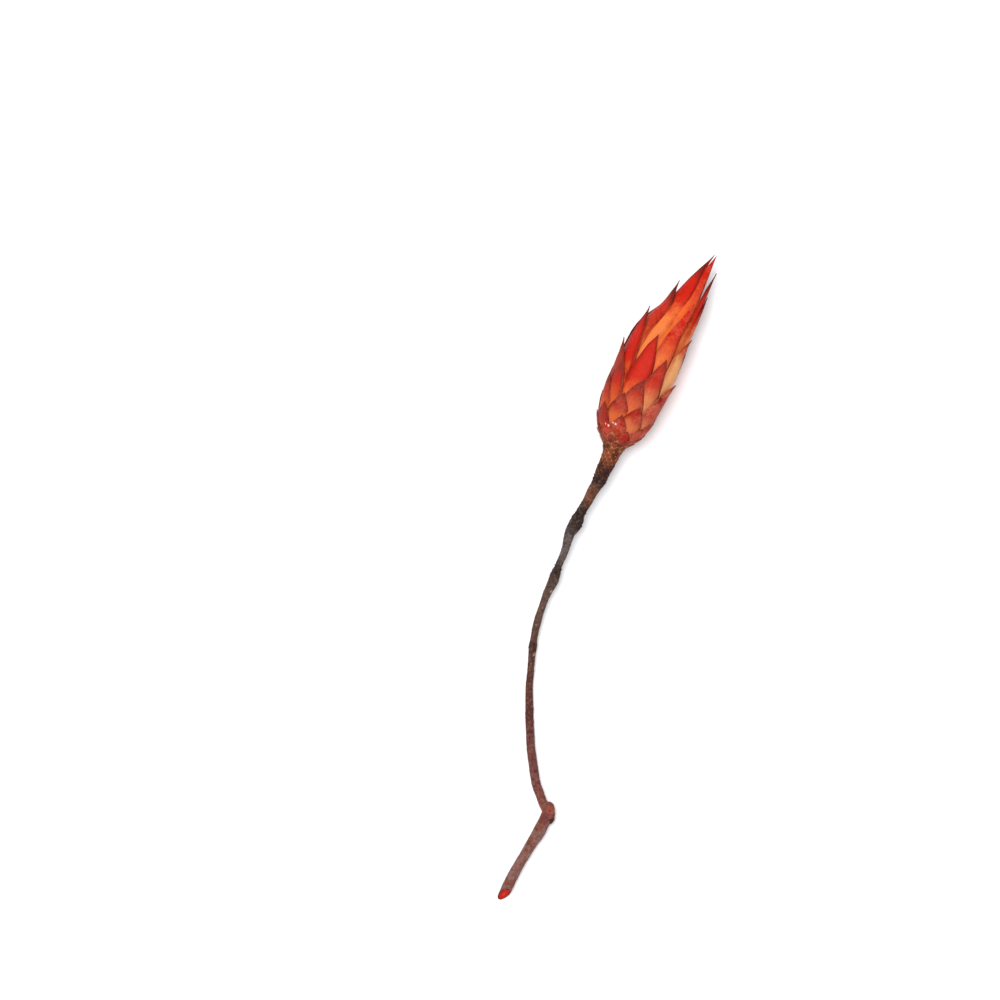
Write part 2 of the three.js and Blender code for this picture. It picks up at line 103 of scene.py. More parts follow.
TIP_HEIGHTS = [
    (0, 103.3), (3, 96), (8, 79.7), (12, 65), (16, 51.5), (21, 38.8), (26, 29.5), (34, 19.6), (44, 13),
    (58, 7.8), (78, 3), (112, -3), (156, -9), (190, -13),
]
LAST_INNER = 14
LAST_BLADE = 33
LAST_OUTER = 57
LAST_SCALE = 166
BRACT_LENGTHS = [(13, 8), (20, 13), (30, 20), (52, 37), (80, 50), (104, 62)]
BRACT_WIDTHS = [(13, 7), (20, 10), (30, 12), (52, 12), (80, 10.5), (104, 9)]
LAYER = 0.5  # how far a bract sinks under the next ones
BLADE_BOW = 0.84  # a blade is bowed more sharply than the head that it lies on
STRAYS = {
    0: (8, 0, 0.1, 1), 1: (80, 2.4, 0, 1), 2: (30, -8, -2.5, 0.8), 3: (6, 0.5, 1.9, 1), 4: (0, -1, 0, 1),
    5: (0, 8.4, 0.8, 1.4), 6: (-38, -1.5, 0.3, 0.85), 7: (59, 1.9, 2.7, 1.2), 8: (-1, -0.7, 0, 0.8),
    9: (0, -2, 0, 1), 10: (12, -5.9, 5.4, 1.05), 11: (-17, -2.6, 1.4, 1), 12: (32, 5, -0.1, 1.3),
    13: (1, -2.7, 0.4, 1), 14: (-14, 11, -0.1, 1.3), 15: (30, -2.6, 2.2, 1), 16: (-19, -1, 0.3, 1),
    18: (-5, -2.4, 0.3, 1), 19: (-32, -1.3, 1.6, 1), 20: (14, 0, 0, 1), 21: (-8, -0.8, 0.2, 1),
    23: (8, 0, 0.3, 1), 24: (-11, 1.5, 0.2, 1), 26: (4, 0, 0, 1), 29: (-12, 1, 0, 1), 32: (-16, 0, 0.3, 1),
    34: (-4, 0.5, 0, 1), 37: (-5, 0.4, 0, 1),
}
SCAR_RINGS = [(-11, 2.5, 0.12), (-30, 4.5, 0.18), (-57, 4, 0.15), (-93, 2, 0.1), (-124, 3, 0.1)]
TIP_FLARE = 0.15
LAYER_LENGTH = 13
LAYER_SHARE = 0.45
OUTER_TIPS = 52.5
DEEPEST_OUTER = 1.7
DEEPEST_ROOM = 2.7
LONGEST_OUTER = 31
CORE_RADIUS = 1.1
LATTICE_SPAN = 21  # a close-lying bract's foot is hidden by the ones that come this many places after it
LATTICE_TURN = 32.5  # degrees between its left and right neighbours
LATTICE_COVER = (1.3, 1.28)  # how much longer and broader it is than its place among them
OUTER_SETTLED = (-0.15, 0.1)  # a close outer bract's lift, and its foot's depth as a share of the radius
SCALE_SETTLED = (-0.26, 0.055)  # the same for a scale of the neck
FOOT_ROOM = 6  # how far above the cup's floor the long bracts start
WOODY_FROM = 13.8  # bracts with lower tips turn into woody scales
GOLDEN_SHARE = 0.618034  # spreads seeds evenly over any count of bracts
WAVE_SEED = 0.0
LINE_MARGIN = 6.0  # how far the growth line is carried on past both ends in the node trees
FAR_BELOW = -1000.0  # lower than any place, so that a limit leaves it alone
CALM_FROM, CALM_TO = 4.5, 8.0  # distances from the knuckle's middle between which the bark's grain fades in
OLD_RUN = 400  # keeps distances along the old wood apart from those along the twig
OLD_WOOD_Y = -204.2  # where the twig's bark turns into that of the old wood


class Slot(Enum):
    """The record's finishes that a piece can take."""

    BARK = "bark"
    CUT_WOOD = "cut_wood"
    NECK_SCALE = "neck_scale"
    OUTER_BRACT = "outer_bract"
    INNER_BRACT = "inner_bract"
    FLORET = "floret"


# ---------------------------------------------------------------- curves and lines


def along(pairs: Pairs, x: float) -> float:
    """Read a smooth curve through pairs.

    Args:
        pairs: Places and values, in rising order of place.
        x: The place to read at.

    Returns:
        The value there, and the end values beyond the ends.
    """
    if x <= pairs[0][0]:
        return pairs[0][1]
    last = len(pairs) - 1
    if x >= pairs[last][0]:
        return pairs[last][1]
    i = next(k for k, pair in enumerate(pairs) if pair[0] > x) - 1

    def slope(k: int) -> float:
        """Slope of the curve at one of its pairs."""
        before, after = pairs[max(k - 1, 0)], pairs[min(k + 1, last)]
        return (after[1] - before[1]) / (after[0] - before[0])

    (x0, v0), (x1, v1) = pairs[i], pairs[i + 1]
    t = (x - x0) / (x1 - x0)
    bend = (x1 - x0) * t * (1 - t) * (slope(i) * (1 - t) - slope(i + 1) * t)
    return v0 + (v1 - v0) * t * t * (3 - 2 * t) + bend


def bract_shape(t: float) -> float:
    """Give the width of a bract as a share of its greatest.

    Args:
        t: Place from its foot (0) to its tip (1).

    Returns:
        The share, which falls away to a drawn-out point at the tip.
    """
    if t < 0.42:
        return 0.8 + 0.2 * math.sin(t / 0.42 * math.pi / 2)
    full = max(0.0, 1 - ((t - 0.42) / 0.58) ** 1.55)
    drawn = min(1.0, max(0.0, (t - 0.86) / 0.12))
    return full * (1 - 0.3 * drawn * drawn * (3 - 2 * drawn))


class GrowthLine:
    """A smooth line that pieces grow along, measured by its length."""

    STEPS = 60  # between two of the points that it passes through
    REACH = 0.3  # how far to both sides its direction is taken from

    def __init__(self, points: Sequence[Place], zero_from_end: float | None = None) -> None:
        """Lay the line.

        Args:
            points: What it passes through, in millimetres.
            zero_from_end: Where distance 0 lies, as a length before the end, or None for the start.
        """
        knots = np.array(points, float)
        knots = np.vstack([2 * knots[0] - knots[1], knots, 2 * knots[-1] - knots[-2]])
        t = np.linspace(0, 1, self.STEPS + 1)[:-1, None]
        parts = []
        for p0, p1, p2, p3 in zip(knots, knots[1:], knots[2:], knots[3:]):
            m1, m2 = (p2 - p0) / 2, (p3 - p1) / 2
            square, cube = 3 * (p2 - p1) - 2 * m1 - m2, 2 * (p1 - p2) + m1 + m2
            parts.append(p1 + m1 * t + square * t**2 + cube * t**3)
        self.points = np.vstack(parts + [knots[-2:-1]])
        steps = np.linalg.norm(np.diff(self.points, axis=0), axis=1)
        self.lengths = np.concatenate([[0], np.cumsum(steps)])
        self.length = float(self.lengths[-1])
        self.zero = 0.0 if zero_from_end is None else self.length - zero_from_end

    def read(self, s: np.ndarray) -> np.ndarray:
        """Points of the line by their length from its start."""
        return np.stack([np.interp(s, self.lengths, self.points[:, k]) for k in range(3)], axis=-1)

    def centre(self, distance: np.ndarray) -> np.ndarray:
        """Points of the line, carried straight on past its ends."""
        s = self.zero + np.asarray(distance, float)
        held = np.clip(s, 0, self.length)
        return self.read(held) + self.tangent(distance) * (s - held)[..., None]

    def tangent(self, distance: np.ndarray) -> np.ndarray:
        """Directions of the line, each of length 1."""
        s = np.clip(self.zero + np.asarray(distance, float), self.REACH, self.length - self.REACH)
        way = self.read(s + self.REACH) - self.read(s - self.REACH)
        return way / np.linalg.norm(way, axis=-1, keepdims=True)

    def across(self, distance: np.ndarray) -> tuple[np.ndarray, np.ndarray]:
        """Directions across the line, sideways and up."""
        tangent = self.tangent(distance)
        side = np.stack([tangent[..., 1], -tangent[..., 0], np.zeros(tangent.shape[:-1])], axis=-1)
        side /= np.linalg.norm(side, axis=-1, keepdims=True)
        return side, np.cross(side, tangent)

    def place(self, distance: np.ndarray, turn: np.ndarray, radius: np.ndarray) -> np.ndarray:
        """Find points round the line.

        Args:
            distance: How far along the line.
            turn: Angle round it in radians, 0 straight up.
            radius: How far from it.

        Returns:
            The points, in millimetres.
        """
        given = (np.asarray(x, float) for x in (distance, turn, radius))
        distance, turn, radius = np.broadcast_arrays(*given)
        side, up = self.across(distance)
        out = up * (radius * np.cos(turn))[..., None] + side * (radius * np.sin(turn))[..., None]
        return self.centre(distance) + out

    def as_curve(self, name: str, margin: float) -> bpy.types.Object:
        """Make the line an object that a node tree can sample.

        Args:
            name: The object's name.
            margin: How far it is carried on past both ends.

        Returns:
            A curve of one straight-sided spline, in millimetres.
        """
        places = np.arange(-self.zero - margin, self.length - self.zero + margin, 0.5)
        points = self.centre(places)
        curve = bpy.data.curves.new(name, "CURVE")
        curve.dimensions = "3D"
        spline = curve.splines.new("POLY")
        spline.points.add(len(points) - 1)
        spline.points.foreach_set("co", np.hstack([points, np.ones((len(points), 1))]).ravel())
        thing = bpy.data.objects.new(name, curve)
        bpy.context.scene.collection.objects.link(thing)
        return thing


STALK = GrowthLine(TWIG_LINE, HEAD_LENGTH)
OLD_WOOD = GrowthLine(OLD_WOOD_LINE)

# ---------------------------------------------------------------- node trees written as sums


Value = Union["Field", float]


@dataclass(frozen=True)
class Field:
    """A socket of a node tree that can be reckoned with like a number."""

    graph: "Graph"
    socket: bpy.types.NodeSocket

    def __add__(self, other: Value) -> "Field":
        """Sum."""
        return self.graph.math("ADD", self, other)

    def __radd__(self, other: Value) -> "Field":
        """Sum."""
        return self.graph.math("ADD", other, self)

    def __sub__(self, other: Value) -> "Field":
        """Difference."""
        return self.graph.math("SUBTRACT", self, other)

    def __rsub__(self, other: Value) -> "Field":
        """Difference from a number."""
        return self.graph.math("SUBTRACT", other, self)

    def __mul__(self, other: Value) -> "Field":
        """Product."""
        return self.graph.math("MULTIPLY", self, other)

    def __truediv__(self, other: Value) -> "Field":
        """Quotient."""
        return self.graph.math("DIVIDE", self, other)

    def __pow__(self, other: Value) -> "Field":
        """Power."""
        return self.graph.math("POWER", self, other)


class Graph:
    """A shader's or a geometry's node tree, with short ways to add its nodes."""

    KNOTS = 64  # how many points a curve is kept by

    def __init__(self, tree: bpy.types.NodeTree) -> None:
        """Take an empty tree."""
        self.tree = tree
        self.shades = tree.bl_idname == "ShaderNodeTree"

    def node(self, kind: str, feeds: Feeds | None = None, **settings: object) -> bpy.types.Node:
        """Add a node.

        Args:
            kind: Its type.
            feeds: What goes into its inputs, by name or number: a field or a plain value.
            settings: Its properties.

        Returns:
            The node.
        """
        made = self.tree.nodes.new(kind)
        for name, value in settings.items():
            setattr(made, name, value)
        for key, value in (feeds or {}).items():
            self.feed(made.inputs[key], value)
        return made

    def feed(self, socket: bpy.types.NodeSocket, value: object) -> None:
        """Link a field to an input, or set the input to a plain value."""
        if isinstance(value, Field):
            value = value.socket
        if isinstance(value, bpy.types.NodeSocket):
            self.tree.links.new(value, socket)
        else:
            socket.default_value = value

    def field(self, kind: str, feeds: Feeds, out: str | int = 0, **settings: object) -> Field:
        """Add a node and give one of its outputs."""
        return Field(self, self.node(kind, feeds, **settings).outputs[out])

    def math(self, operation: str, *values: Value) -> Field:
        """Reckon with numbers."""
        return self.field("ShaderNodeMath", dict(enumerate(values)), operation=operation)

    def vector_math(self, operation: str, *values: object) -> Field:
        """Reckon with vectors, where the result is one."""
        return self.field("ShaderNodeVectorMath", dict(enumerate(values)), operation=operation)

    def scaled(self, vector: Field, factor: Value) -> Field:
        """A vector times a number."""
        return self.field("ShaderNodeVectorMath", {0: vector, "Scale": factor}, operation="SCALE")

    def sum_of(self, *vectors: Field) -> Field:
        """Vectors added up."""
        total = vectors[0]
        for vector in vectors[1:]:
            total = self.vector_math("ADD", total, vector)
        return total

    def combined(self, x: Value, y: Value, z: Value) -> Field:
        """A vector of three numbers."""
        return self.field("ShaderNodeCombineXYZ", {0: x, 1: y, 2: z})

    def step(self, x: Value, low: float | Field, high: float | Field) -> Field:
        """Rise smoothly from 0 to 1 as x goes from low to high."""
        return self.field("ShaderNodeMapRange", {0: x, 1: low, 2: high}, interpolation_type="SMOOTHSTEP")

    def attribute(self, name: str) -> Field:
        """A value that the mesh carries on its points."""
        if self.shades:
            return self.field("ShaderNodeAttribute", {}, "Fac", attribute_name=name)
        return self.field("GeometryNodeInputNamedAttribute", {"Name": name}, data_type="FLOAT")

    def noise(self, place: Field, scale: float, detail: float = 2.0, roughness: float = 0.5) -> Field:
        """Cloudy noise of about 0 to 1 round a half."""
        feeds = {"Vector": place, "Scale": scale, "Detail": detail, "Roughness": roughness}
        return self.field("ShaderNodeTexNoise", feeds)

    def cells(self, place: Field, scale: float) -> Field:
        """Distance to the nearest of many scattered spots."""
        return self.field("ShaderNodeTexVoronoi", {"Vector": place, "Scale": scale}, "Distance")

    def blend(self, factor: Value, first: object, second: object) -> Field:
        """Mix two colours."""
        return self.field("ShaderNodeMix", {0: factor, 6: first, 7: second}, 2, data_type="RGBA")

    def darkened(self, colour: Field, factor: Value) -> Field:
        """A colour times a grey value."""
        feeds = {0: 1.0, 6: colour, 7: self.combined(factor, factor, factor)}
        return self.field("ShaderNodeMix", feeds, 2, data_type="RGBA", blend_type="MULTIPLY")

    def curve(self, x: Value, read: Callable[[float], float], span: tuple[float, float]) -> Field:
        """Read a curve that is given as a function.

        Args:
            x: The place to read at.
            read: The function.
            span: The first and last place.

        Returns:
            The value.
        """
        low, high = span
        places = np.linspace(low, high, self.KNOTS)
        values = np.array([read(float(place)) for place in places])
        bottom, top = float(values.min()), float(values.max())
        spots = list(zip((places - low) / (high - low), (values - bottom) / (top - bottom)))
        made = self.node("ShaderNodeFloatCurve")
        points = made.mapping.curves[0].points
        points[0].location, points[-1].location = spots[0], spots[-1]
        for spot in spots[1:-1]:
            points.new(*spot)
        made.mapping.update()
        self.feed(made.inputs["Value"], self.math("DIVIDE", self.math("SUBTRACT", x, low), high - low))
        return Field(self, made.outputs[0]) * (top - bottom) + bottom

    def ramp(self, x: Value, stops: Sequence[tuple[float, Colour]]) -> Field:
        """A colour that changes along x.

        Args:
            x: Where to read, from 0 to 1.
            stops: Places and their colours.

        Returns:
            The colour.
        """
        made = self.node("ShaderNodeValToRGB", {0: x})
        elements = made.color_ramp.elements
        elements[0].position, elements[0].color = stops[0]
        elements[1].position, elements[1].color = stops[-1]
        for position, colour in stops[1:-1]:
            elements.new(position).color = colour
        return Field(self, made.outputs[0])


REFLECTED = 0.78  # share of a tone that the flower gives back, under a light that bleaches the floor


def tone(red: int, green: int, blue: int) -> Colour:
    """A colour named by its usual 0 to 255 values, as the shaders want it."""
    shares = (red / 255, green / 255, blue / 255)
    return (*(c / 12.92 if c <= 10 / 255 else ((c + 0.055) / 1.055) ** 2.4 for c in shares), 1.0)


# ---------------------------------------------------------------- finishes


@dataclass(frozen=True)
class Finish:
    """A surface with its own pattern."""

    name: str

    def material(self) -> bpy.types.Material:
        """Make the material that this finish describes."""
        made = bpy.data.materials.new(self.name)
        made.use_nodes = True
        made.node_tree.nodes.clear()
        graph = Graph(made.node_tree)
        shader = graph.node("ShaderNodeBsdfPrincipled")
        output = graph.node("ShaderNodeOutputMaterial")
        graph.feed(output.inputs["Surface"], shader.outputs[0])
        self.paint(graph, shader)
        return made

    def paint(self, graph: Graph, shader: bpy.types.Node) -> None:
        """Feed the shader's colour, roughness and bump."""
        raise NotImplementedError

    @staticmethod
    def own_place(graph: Graph) -> Field:
        """The point's place on the object."""
        return graph.field("ShaderNodeTexCoord", {}, "Object")

    @staticmethod
    def distance_from(graph: Graph, spot: Field, place: Place) -> Field:
        """How far a spot is from a place given in millimetres."""
        here = tuple(part * MM for part in place)
        return graph.field("ShaderNodeVectorMath", {0: spot, 1: here}, "Value", operation="DISTANCE")

    @staticmethod
    def coat(
        graph: Graph, shader: bpy.types.Node, colour: Field, rough: Field, height: Field,
        relief: tuple[float, float], sheen: float = 0.5,
    ) -> None:
        """Feed the shader.

        Args:
            graph: The material's nodes.
            shader: The shader.
            colour: Its colour.
            rough: Its roughness.
            height: The pattern that raises the surface.
            relief: How strongly the pattern is raised, and how far.
            sheen: How strongly the surface shines.
        """
        feeds = {"Height": height, "Strength": relief[0], "Distance": relief[1]}
        graph.feed(shader.inputs["Base Color"], colour)
        graph.feed(shader.inputs["Roughness"], rough)
        graph.feed(shader.inputs["Normal"], graph.field("ShaderNodeBump", feeds))
        graph.feed(shader.inputs["Specular IOR Level"], sheen)


@dataclass(frozen=True)
class BractFinish(Finish):
    """Dyed bract: orange foot, scarlet or maroon above, painted crimson shade at the margins, a pale edge
    that is partly painted highlight, dark point, streaks, frosty bloom, painted resin glints.

    Each bract carries how far up it is orange, how yellow and how red it is, how dark its point is, how
    dusty its face is and how much it is a woody brown scale with a tan edge.
    """

    foot: Colour
    pale_foot: Colour
    high: Colour
    low: Colour
    # dark crimson of the painted shade along the margins
    deep: Colour
    bloom: Colour
    # real tan edge of woody scales, and painted highlight along the margins of the other bracts
    edge: Colour
    point: Colour
    frost: Colour
    wood: Colour
    wood_shade: Colour
    gloss: float = 0.42
    streak: float = 0.3
    frosting: float = 0.5
    edge_width: float = 0.14
    # near-white colour of painted glints on resin drops, and the spots (place and radius) where they go
    sap: Colour = (0.0, 0.0, 0.0, 1.0)
    beads: tuple[tuple[float, float, float, float], ...] = ()

    def paint(self, graph: Graph, shader: bpy.types.Node) -> None:
        """Feed the shader's colour, roughness and bump."""
        reach, across, seed, orange, yellow, red, dark, dust, woody = (
            graph.attribute(name)
            for name in ("reach", "across", "seed", "orange", "yellow", "red", "dark", "dust", "woody")
        )
        spot = self.own_place(graph)
        along_it = graph.combined(across * 4.0 + seed * 13.0, reach * 1.6, seed * 5.0)
        grain = graph.noise(along_it, 2.2, 5.0, 0.62)
        fine = graph.noise(graph.combined(across * 14.0 + seed * 7.0, reach * 3.0, seed), 2.0, 3.0)
        blot = graph.noise(spot, 210.0, 4.0, 0.6)
        mottle = graph.noise(spot, 900.0, 3.0, 0.65)
        speck = graph.noise(spot, 2400.0, 3.0, 0.65)
        stray = (grain - 0.5) * 0.34 + (blot - 0.5) * 0.4
        side = graph.math("ABSOLUTE", across)
        rise = graph.step(reach + stray, orange - 0.13, orange + 0.2)
        feet, heights = graph.blend(yellow, self.foot, self.pale_foot), graph.blend(red, self.low, self.high)
        colour = graph.blend(rise, feet, heights)
        # painted shade: margins, where a bract curls under its neighbours, are blended towards dark crimson,
        # more so above the orange foot
        shaded = graph.step(side + (fine - 0.5) * 0.4 + (blot - 0.5) * 0.5, 0.42, 0.95)
        colour = graph.blend(shaded * (0.4 + rise * 0.45), colour, self.deep)
        bloom = graph.step(blot + (mottle - 0.5) * 0.5, 0.36, 0.64) * dust
        colour = graph.blend(bloom * 0.75, colour, self.bloom)
        timber = graph.blend(graph.step(blot + (mottle - 0.5) * 0.6, 0.38, 0.6), self.wood_shade, self.wood)
        timber = graph.blend((1.0 - red) * 0.85, timber, self.low)
        colour = graph.blend(woody, colour, timber)
        # pale rim: on woody scales the real tan edge and end, on the other bracts a painted highlight where
        # light catches the margin
        end = graph.step(reach, 0.74, 0.96)
        rim = graph.step(side + (fine - 0.5) * 0.3, 1.0 - self.edge_width - woody * 0.2, 1.0)
        rim = graph.math("MAXIMUM", rim * (1.0 - end), end * woody)
        rim = rim * graph.step(blot + (speck - 0.5) * 0.6, 0.36, 0.58)
        colour = graph.blend(rim * (0.3 + woody * 0.6 * red), colour, self.edge)
        begin = 0.98 - dark * 0.17
        point = graph.step(reach + stray * 0.3 + side * 0.06, begin, begin + 0.15)
        colour = graph.blend(point * graph.math("MINIMUM", dark, 1.0) * 0.92, colour, self.point)
        frost = graph.step(speck + (mottle - 0.5) * 0.5, 0.55, 0.72) * graph.step(blot, 0.38, 0.6)
        colour = graph.blend(frost * (dust * 0.7 + 0.08) * self.frosting, colour, self.frost)
        shade = (grain - 0.5) * self.streak * 2.0 + (fine - 0.5) * self.streak + (speck - 0.5) * 0.3 + 1.0
        colour = graph.darkened(colour, shade * REFLECTED)
        rough = self.gloss + bloom * 0.25 + (mottle - 0.5) * 0.3
        height = grain * 0.6 + fine * 0.5 + mottle * 0.35 + speck * 0.2
        # painted highlights: pale spots where resin drops shine, also made smoother and raised by the bump
        for x, y, z, size in self.beads:
            away = self.distance_from(graph, spot, (x, y, z))
            away = away + (mottle - 0.5) * 0.0014 + (speck - 0.5) * 0.0008
            glint_mask = graph.step(away, size * MM, size * MM * 0.4)
            colour = graph.blend(glint_mask * 0.85, colour, self.sap)
            rough = rough * (1.0 - glint_mask * 0.6)
            height = height + glint_mask * 0.9
        self.coat(graph, shader, colour, rough, height, (0.6, 0.35 * MM), 0.08)


@dataclass(frozen=True)
class FloretFinish(Finish):
    """Straw-like florets, pinkish towards their silky ends."""

    straw: Colour
    flushed: Colour

    def paint(self, graph: Graph, shader: bpy.types.Node) -> None:
        """Feed the shader's colour, roughness and bump."""
        reach, across, seed = (graph.attribute(name) for name in ("reach", "across", "seed"))
        grain = graph.noise(graph.combined(across * 2.0, reach * 30.0, seed * 9.0), 1.0, 4.0)
        colour = graph.blend(graph.step(reach + (grain - 0.5) * 0.4, 0.35, 0.95), self.straw, self.flushed)
        colour = graph.darkened(colour, (0.7 + grain * 0.6) * REFLECTED)
        self.coat(graph, shader, colour, 0.55 + grain * 0.3, grain, (0.4, 0.2 * MM))


@dataclass(frozen=True)
class BarkFinish(Finish):
    """Dry bark: blackish near the flower, then grey-brown, reddish down the twig, dusty on the old wood."""

    along_twig: tuple[tuple[float, Colour], ...]
    ringed: Colour
    old: Colour
    old_warm: Colour
    crack: Colour
    dust: Colour
    lenticel: Colour
    scars: tuple[tuple[float, float, float, float, Colour], ...]

    def paint(self, graph: Graph, shader: bpy.types.Node) -> None:
        """Feed the shader's colour, roughness and bump."""
        spot = self.own_place(graph)
        run, turn, old, ring = (graph.attribute(name) for name in ("run", "around", "old", "ring"))
        cosine, sine = graph.math("COSINE", turn), graph.math("SINE", turn)
        blot = graph.noise(spot, 240.0, 4.0, 0.6)
        patch = graph.noise(spot, 620.0, 4.0, 0.65)
        grain = graph.noise(graph.combined(cosine, sine, run * 0.16), 3.2, 5.0, 0.65)
        wrinkle = graph.noise(graph.combined(cosine, sine, run * 1.9), 1.5, 3.0)
        fine = graph.noise(spot, 2600.0, 2.0)
        share = (run + STALK.zero) / (STALK.zero + NECK_FOOT) + (blot - 0.5) * 0.06
        colour = graph.ramp(share, self.along_twig)
        colour = graph.blend(ring * graph.step(grain, 0.3, 0.6) * 0.8, colour, self.ringed)
        aged = graph.blend(graph.step(blot, 0.38, 0.6), self.old_warm, self.old)
        colour = graph.blend(graph.step(old + (blot - 0.5) * 0.5, 0.25, 0.75), colour, aged)
        calm = graph.step(self.distance_from(graph, spot, KNUCKLE_CENTRE), CALM_FROM * MM, CALM_TO * MM)
        colour = graph.blend(graph.step(patch + (fine - 0.5) * 0.3, 0.5, 0.74) * 0.45, colour, self.dust)
        for cracked in (
            graph.step(grain, 0.46, 0.32) * calm * (0.8 - old * 0.4),
            graph.step(wrinkle, 0.45, 0.33) * calm * (ring * 0.75 + 0.25),
            graph.step(patch, 0.46, 0.3) * 0.6,
        ):
            colour = graph.blend(cracked, colour, self.crack)
        dots = graph.step(graph.cells(spot, 420.0), 0.16, 0.09) * graph.step(blot, 0.48, 0.56)
        colour = graph.blend(dots * 0.4, colour, self.lenticel)
        for x, y, z, size, shade in self.scars:
            away = self.distance_from(graph, spot, (x, y, z))
            away = away + (patch - 0.5) * 0.0016 + (blot - 0.5) * 0.0012
            colour = graph.blend(graph.step(away, size * MM, size * MM * 0.4) * 0.9, colour, shade)
        colour = graph.darkened(colour, (0.3 + fine * 0.5 + patch * 0.8) * REFLECTED)
        height = (grain * 0.8 + wrinkle * (ring + 0.35)) * calm + fine * 0.35 + patch * 0.4
        self.coat(graph, shader, colour, 0.6 + blot * 0.35, height, (0.8, 0.6 * MM), 0.12)


@dataclass(frozen=True)
class CutWoodFinish(Finish):
    """End grain soaked with dye: bright wood with rays and a dark rim."""

    wood: Colour
    pith: Colour
    rim: Colour

    def paint(self, graph: Graph, shader: bpy.types.Node) -> None:
        """Feed the shader's colour, roughness and bump."""
        spot = self.own_place(graph)
        out, turn = graph.attribute("out"), graph.attribute("around")
        cosine, sine = graph.math("COSINE", turn) * 5.0, graph.math("SINE", turn) * 5.0
        rays = graph.noise(graph.combined(cosine, sine, out * 0.6), 1.6, 3.0)
        fine = graph.noise(spot, 2400.0, 3.0)
        rings = graph.math("SINE", out * 26.0 + (fine - 0.5) * 3.0) * 0.5 + 0.5
        colour = graph.blend(graph.step(out + (rays - 0.5) * 0.5, 0.4, 0.05), self.wood, self.pith)
        colour = graph.blend(graph.step(out + (rays - 0.5) * 0.3, 0.74, 0.92), colour, self.rim)
        colour = graph.darkened(colour, (0.62 + rays * 0.6 + rings * 0.12) * REFLECTED)
        height = rays * 0.7 + rings * 0.3 + fine * 0.3
        self.coat(graph, shader, colour, 0.6 + fine * 0.3, height, (0.6, 0.3 * MM), 0.12)


@dataclass(frozen=True)
class FloorFinish(Finish):
    """Plain pale card."""

    card: Colour
    fleck: Colour

    def paint(self, graph: Graph, shader: bpy.types.Node) -> None:
        """Feed the shader's colour, roughness and bump."""
        fibre = graph.noise(self.own_place(graph), 700.0, 4.0)
        colour = graph.blend(graph.step(fibre, 0.3, 0.7), self.card, self.fleck)
        self.coat(graph, shader, colour, 0.8 + fibre * 0.2, fibre, (0.05, 0.1 * MM))


INNER_FINISH = BractFinish(
    "inner_bract", foot=tone(248, 108, 36), pale_foot=tone(248, 178, 112), high=tone(212, 32, 12),
    low=tone(156, 26, 14), deep=tone(146, 10, 2), bloom=tone(234, 92, 62), edge=tone(246, 132, 72),
    point=tone(98, 26, 16), frost=tone(250, 150, 112), wood=tone(146, 70, 42), wood_shade=tone(96, 44, 30),
    streak=0.3, frosting=0.5,
)
OUTER_FINISH = BractFinish(
    "outer_bract", foot=tone(218, 92, 38), pale_foot=tone(236, 160, 108), high=tone(202, 34, 16),
    low=tone(156, 38, 26), deep=tone(120, 16, 8), bloom=tone(212, 104, 80), edge=tone(226, 150, 108),
    point=tone(142, 46, 34), frost=tone(238, 146, 118), wood=tone(150, 72, 42), wood_shade=tone(98, 44, 30),
    gloss=0.5, streak=0.36, frosting=0.8, sap=tone(250, 206, 196),
    # spots of the painted resin glints: place and radius
    beads=(
        (-17.3, -25.6, 23.1, 0.7), (-14.2, -25.0, 24.8, 0.7), (-15.4, -24.3, 24.4, 0.45),
        (-18.4, -24.6, 22.3, 0.4),
    ),
)
NECK_FINISH = BractFinish(
    "neck_scale", foot=tone(90, 42, 28), pale_foot=tone(130, 74, 48), high=tone(146, 68, 40),
    low=tone(50, 30, 30), deep=tone(60, 24, 18), bloom=tone(140, 82, 60), edge=tone(222, 158, 108),
    point=tone(70, 32, 24), frost=tone(222, 176, 142), wood=tone(146, 70, 42), wood_shade=tone(84, 38, 26),
    gloss=0.6, streak=0.4, frosting=0.5, edge_width=0.2,
)
FLORET_FINISH = FloretFinish("floret", straw=tone(222, 160, 110), flushed=tone(214, 104, 84))
BARK_FINISH = BarkFinish(
    "bark",
    along_twig=(
        (0.0, tone(138, 72, 60)), (0.1, tone(132, 78, 72)), (0.3, tone(108, 60, 52)),
        (0.45, tone(92, 58, 48)), (0.6, tone(108, 82, 70)), (0.7, tone(82, 64, 54)),
        (0.75, tone(112, 99, 93)), (0.8, tone(104, 90, 86)), (0.835, tone(78, 62, 56)),
        (0.89, tone(66, 50, 42)), (0.93, tone(124, 72, 50)), (0.975, tone(84, 54, 42)),
        (1.0, tone(56, 38, 34)),
    ),
    ringed=tone(50, 36, 32), old=tone(148, 106, 99), old_warm=tone(138, 80, 64), crack=tone(40, 24, 22),
    dust=tone(156, 130, 118), lenticel=tone(196, 142, 116),
    scars=(
        (-42.6, -100.4, 8.0, 0.9, tone(190, 166, 142)), (-50.4, -128.9, 4.6, 0.9, tone(190, 140, 118)),
        (-45.5, -202.8, 5.9, 3.2, tone(118, 62, 60)), (-45.6, -197.4, 5.6, 1.3, tone(118, 88, 68)),
        (-42.1, -203.8, 4.6, 2.5, tone(70, 36, 30)), (-43.2, -199.1, 6.1, 2.0, tone(164, 78, 56)),
        (-43.1, -199.4, 6.2, 0.8, tone(128, 58, 44)),
    ),
)
CUT_FINISH = CutWoodFinish("cut_wood", wood=tone(216, 36, 14), pith=tone(232, 74, 44), rim=tone(104, 34, 26))
FLOOR_FINISH = FloorFinish("floor", card=tone(247, 247, 247), fleck=tone(249, 249, 249))


# ---------------------------------------------------------------- meshes


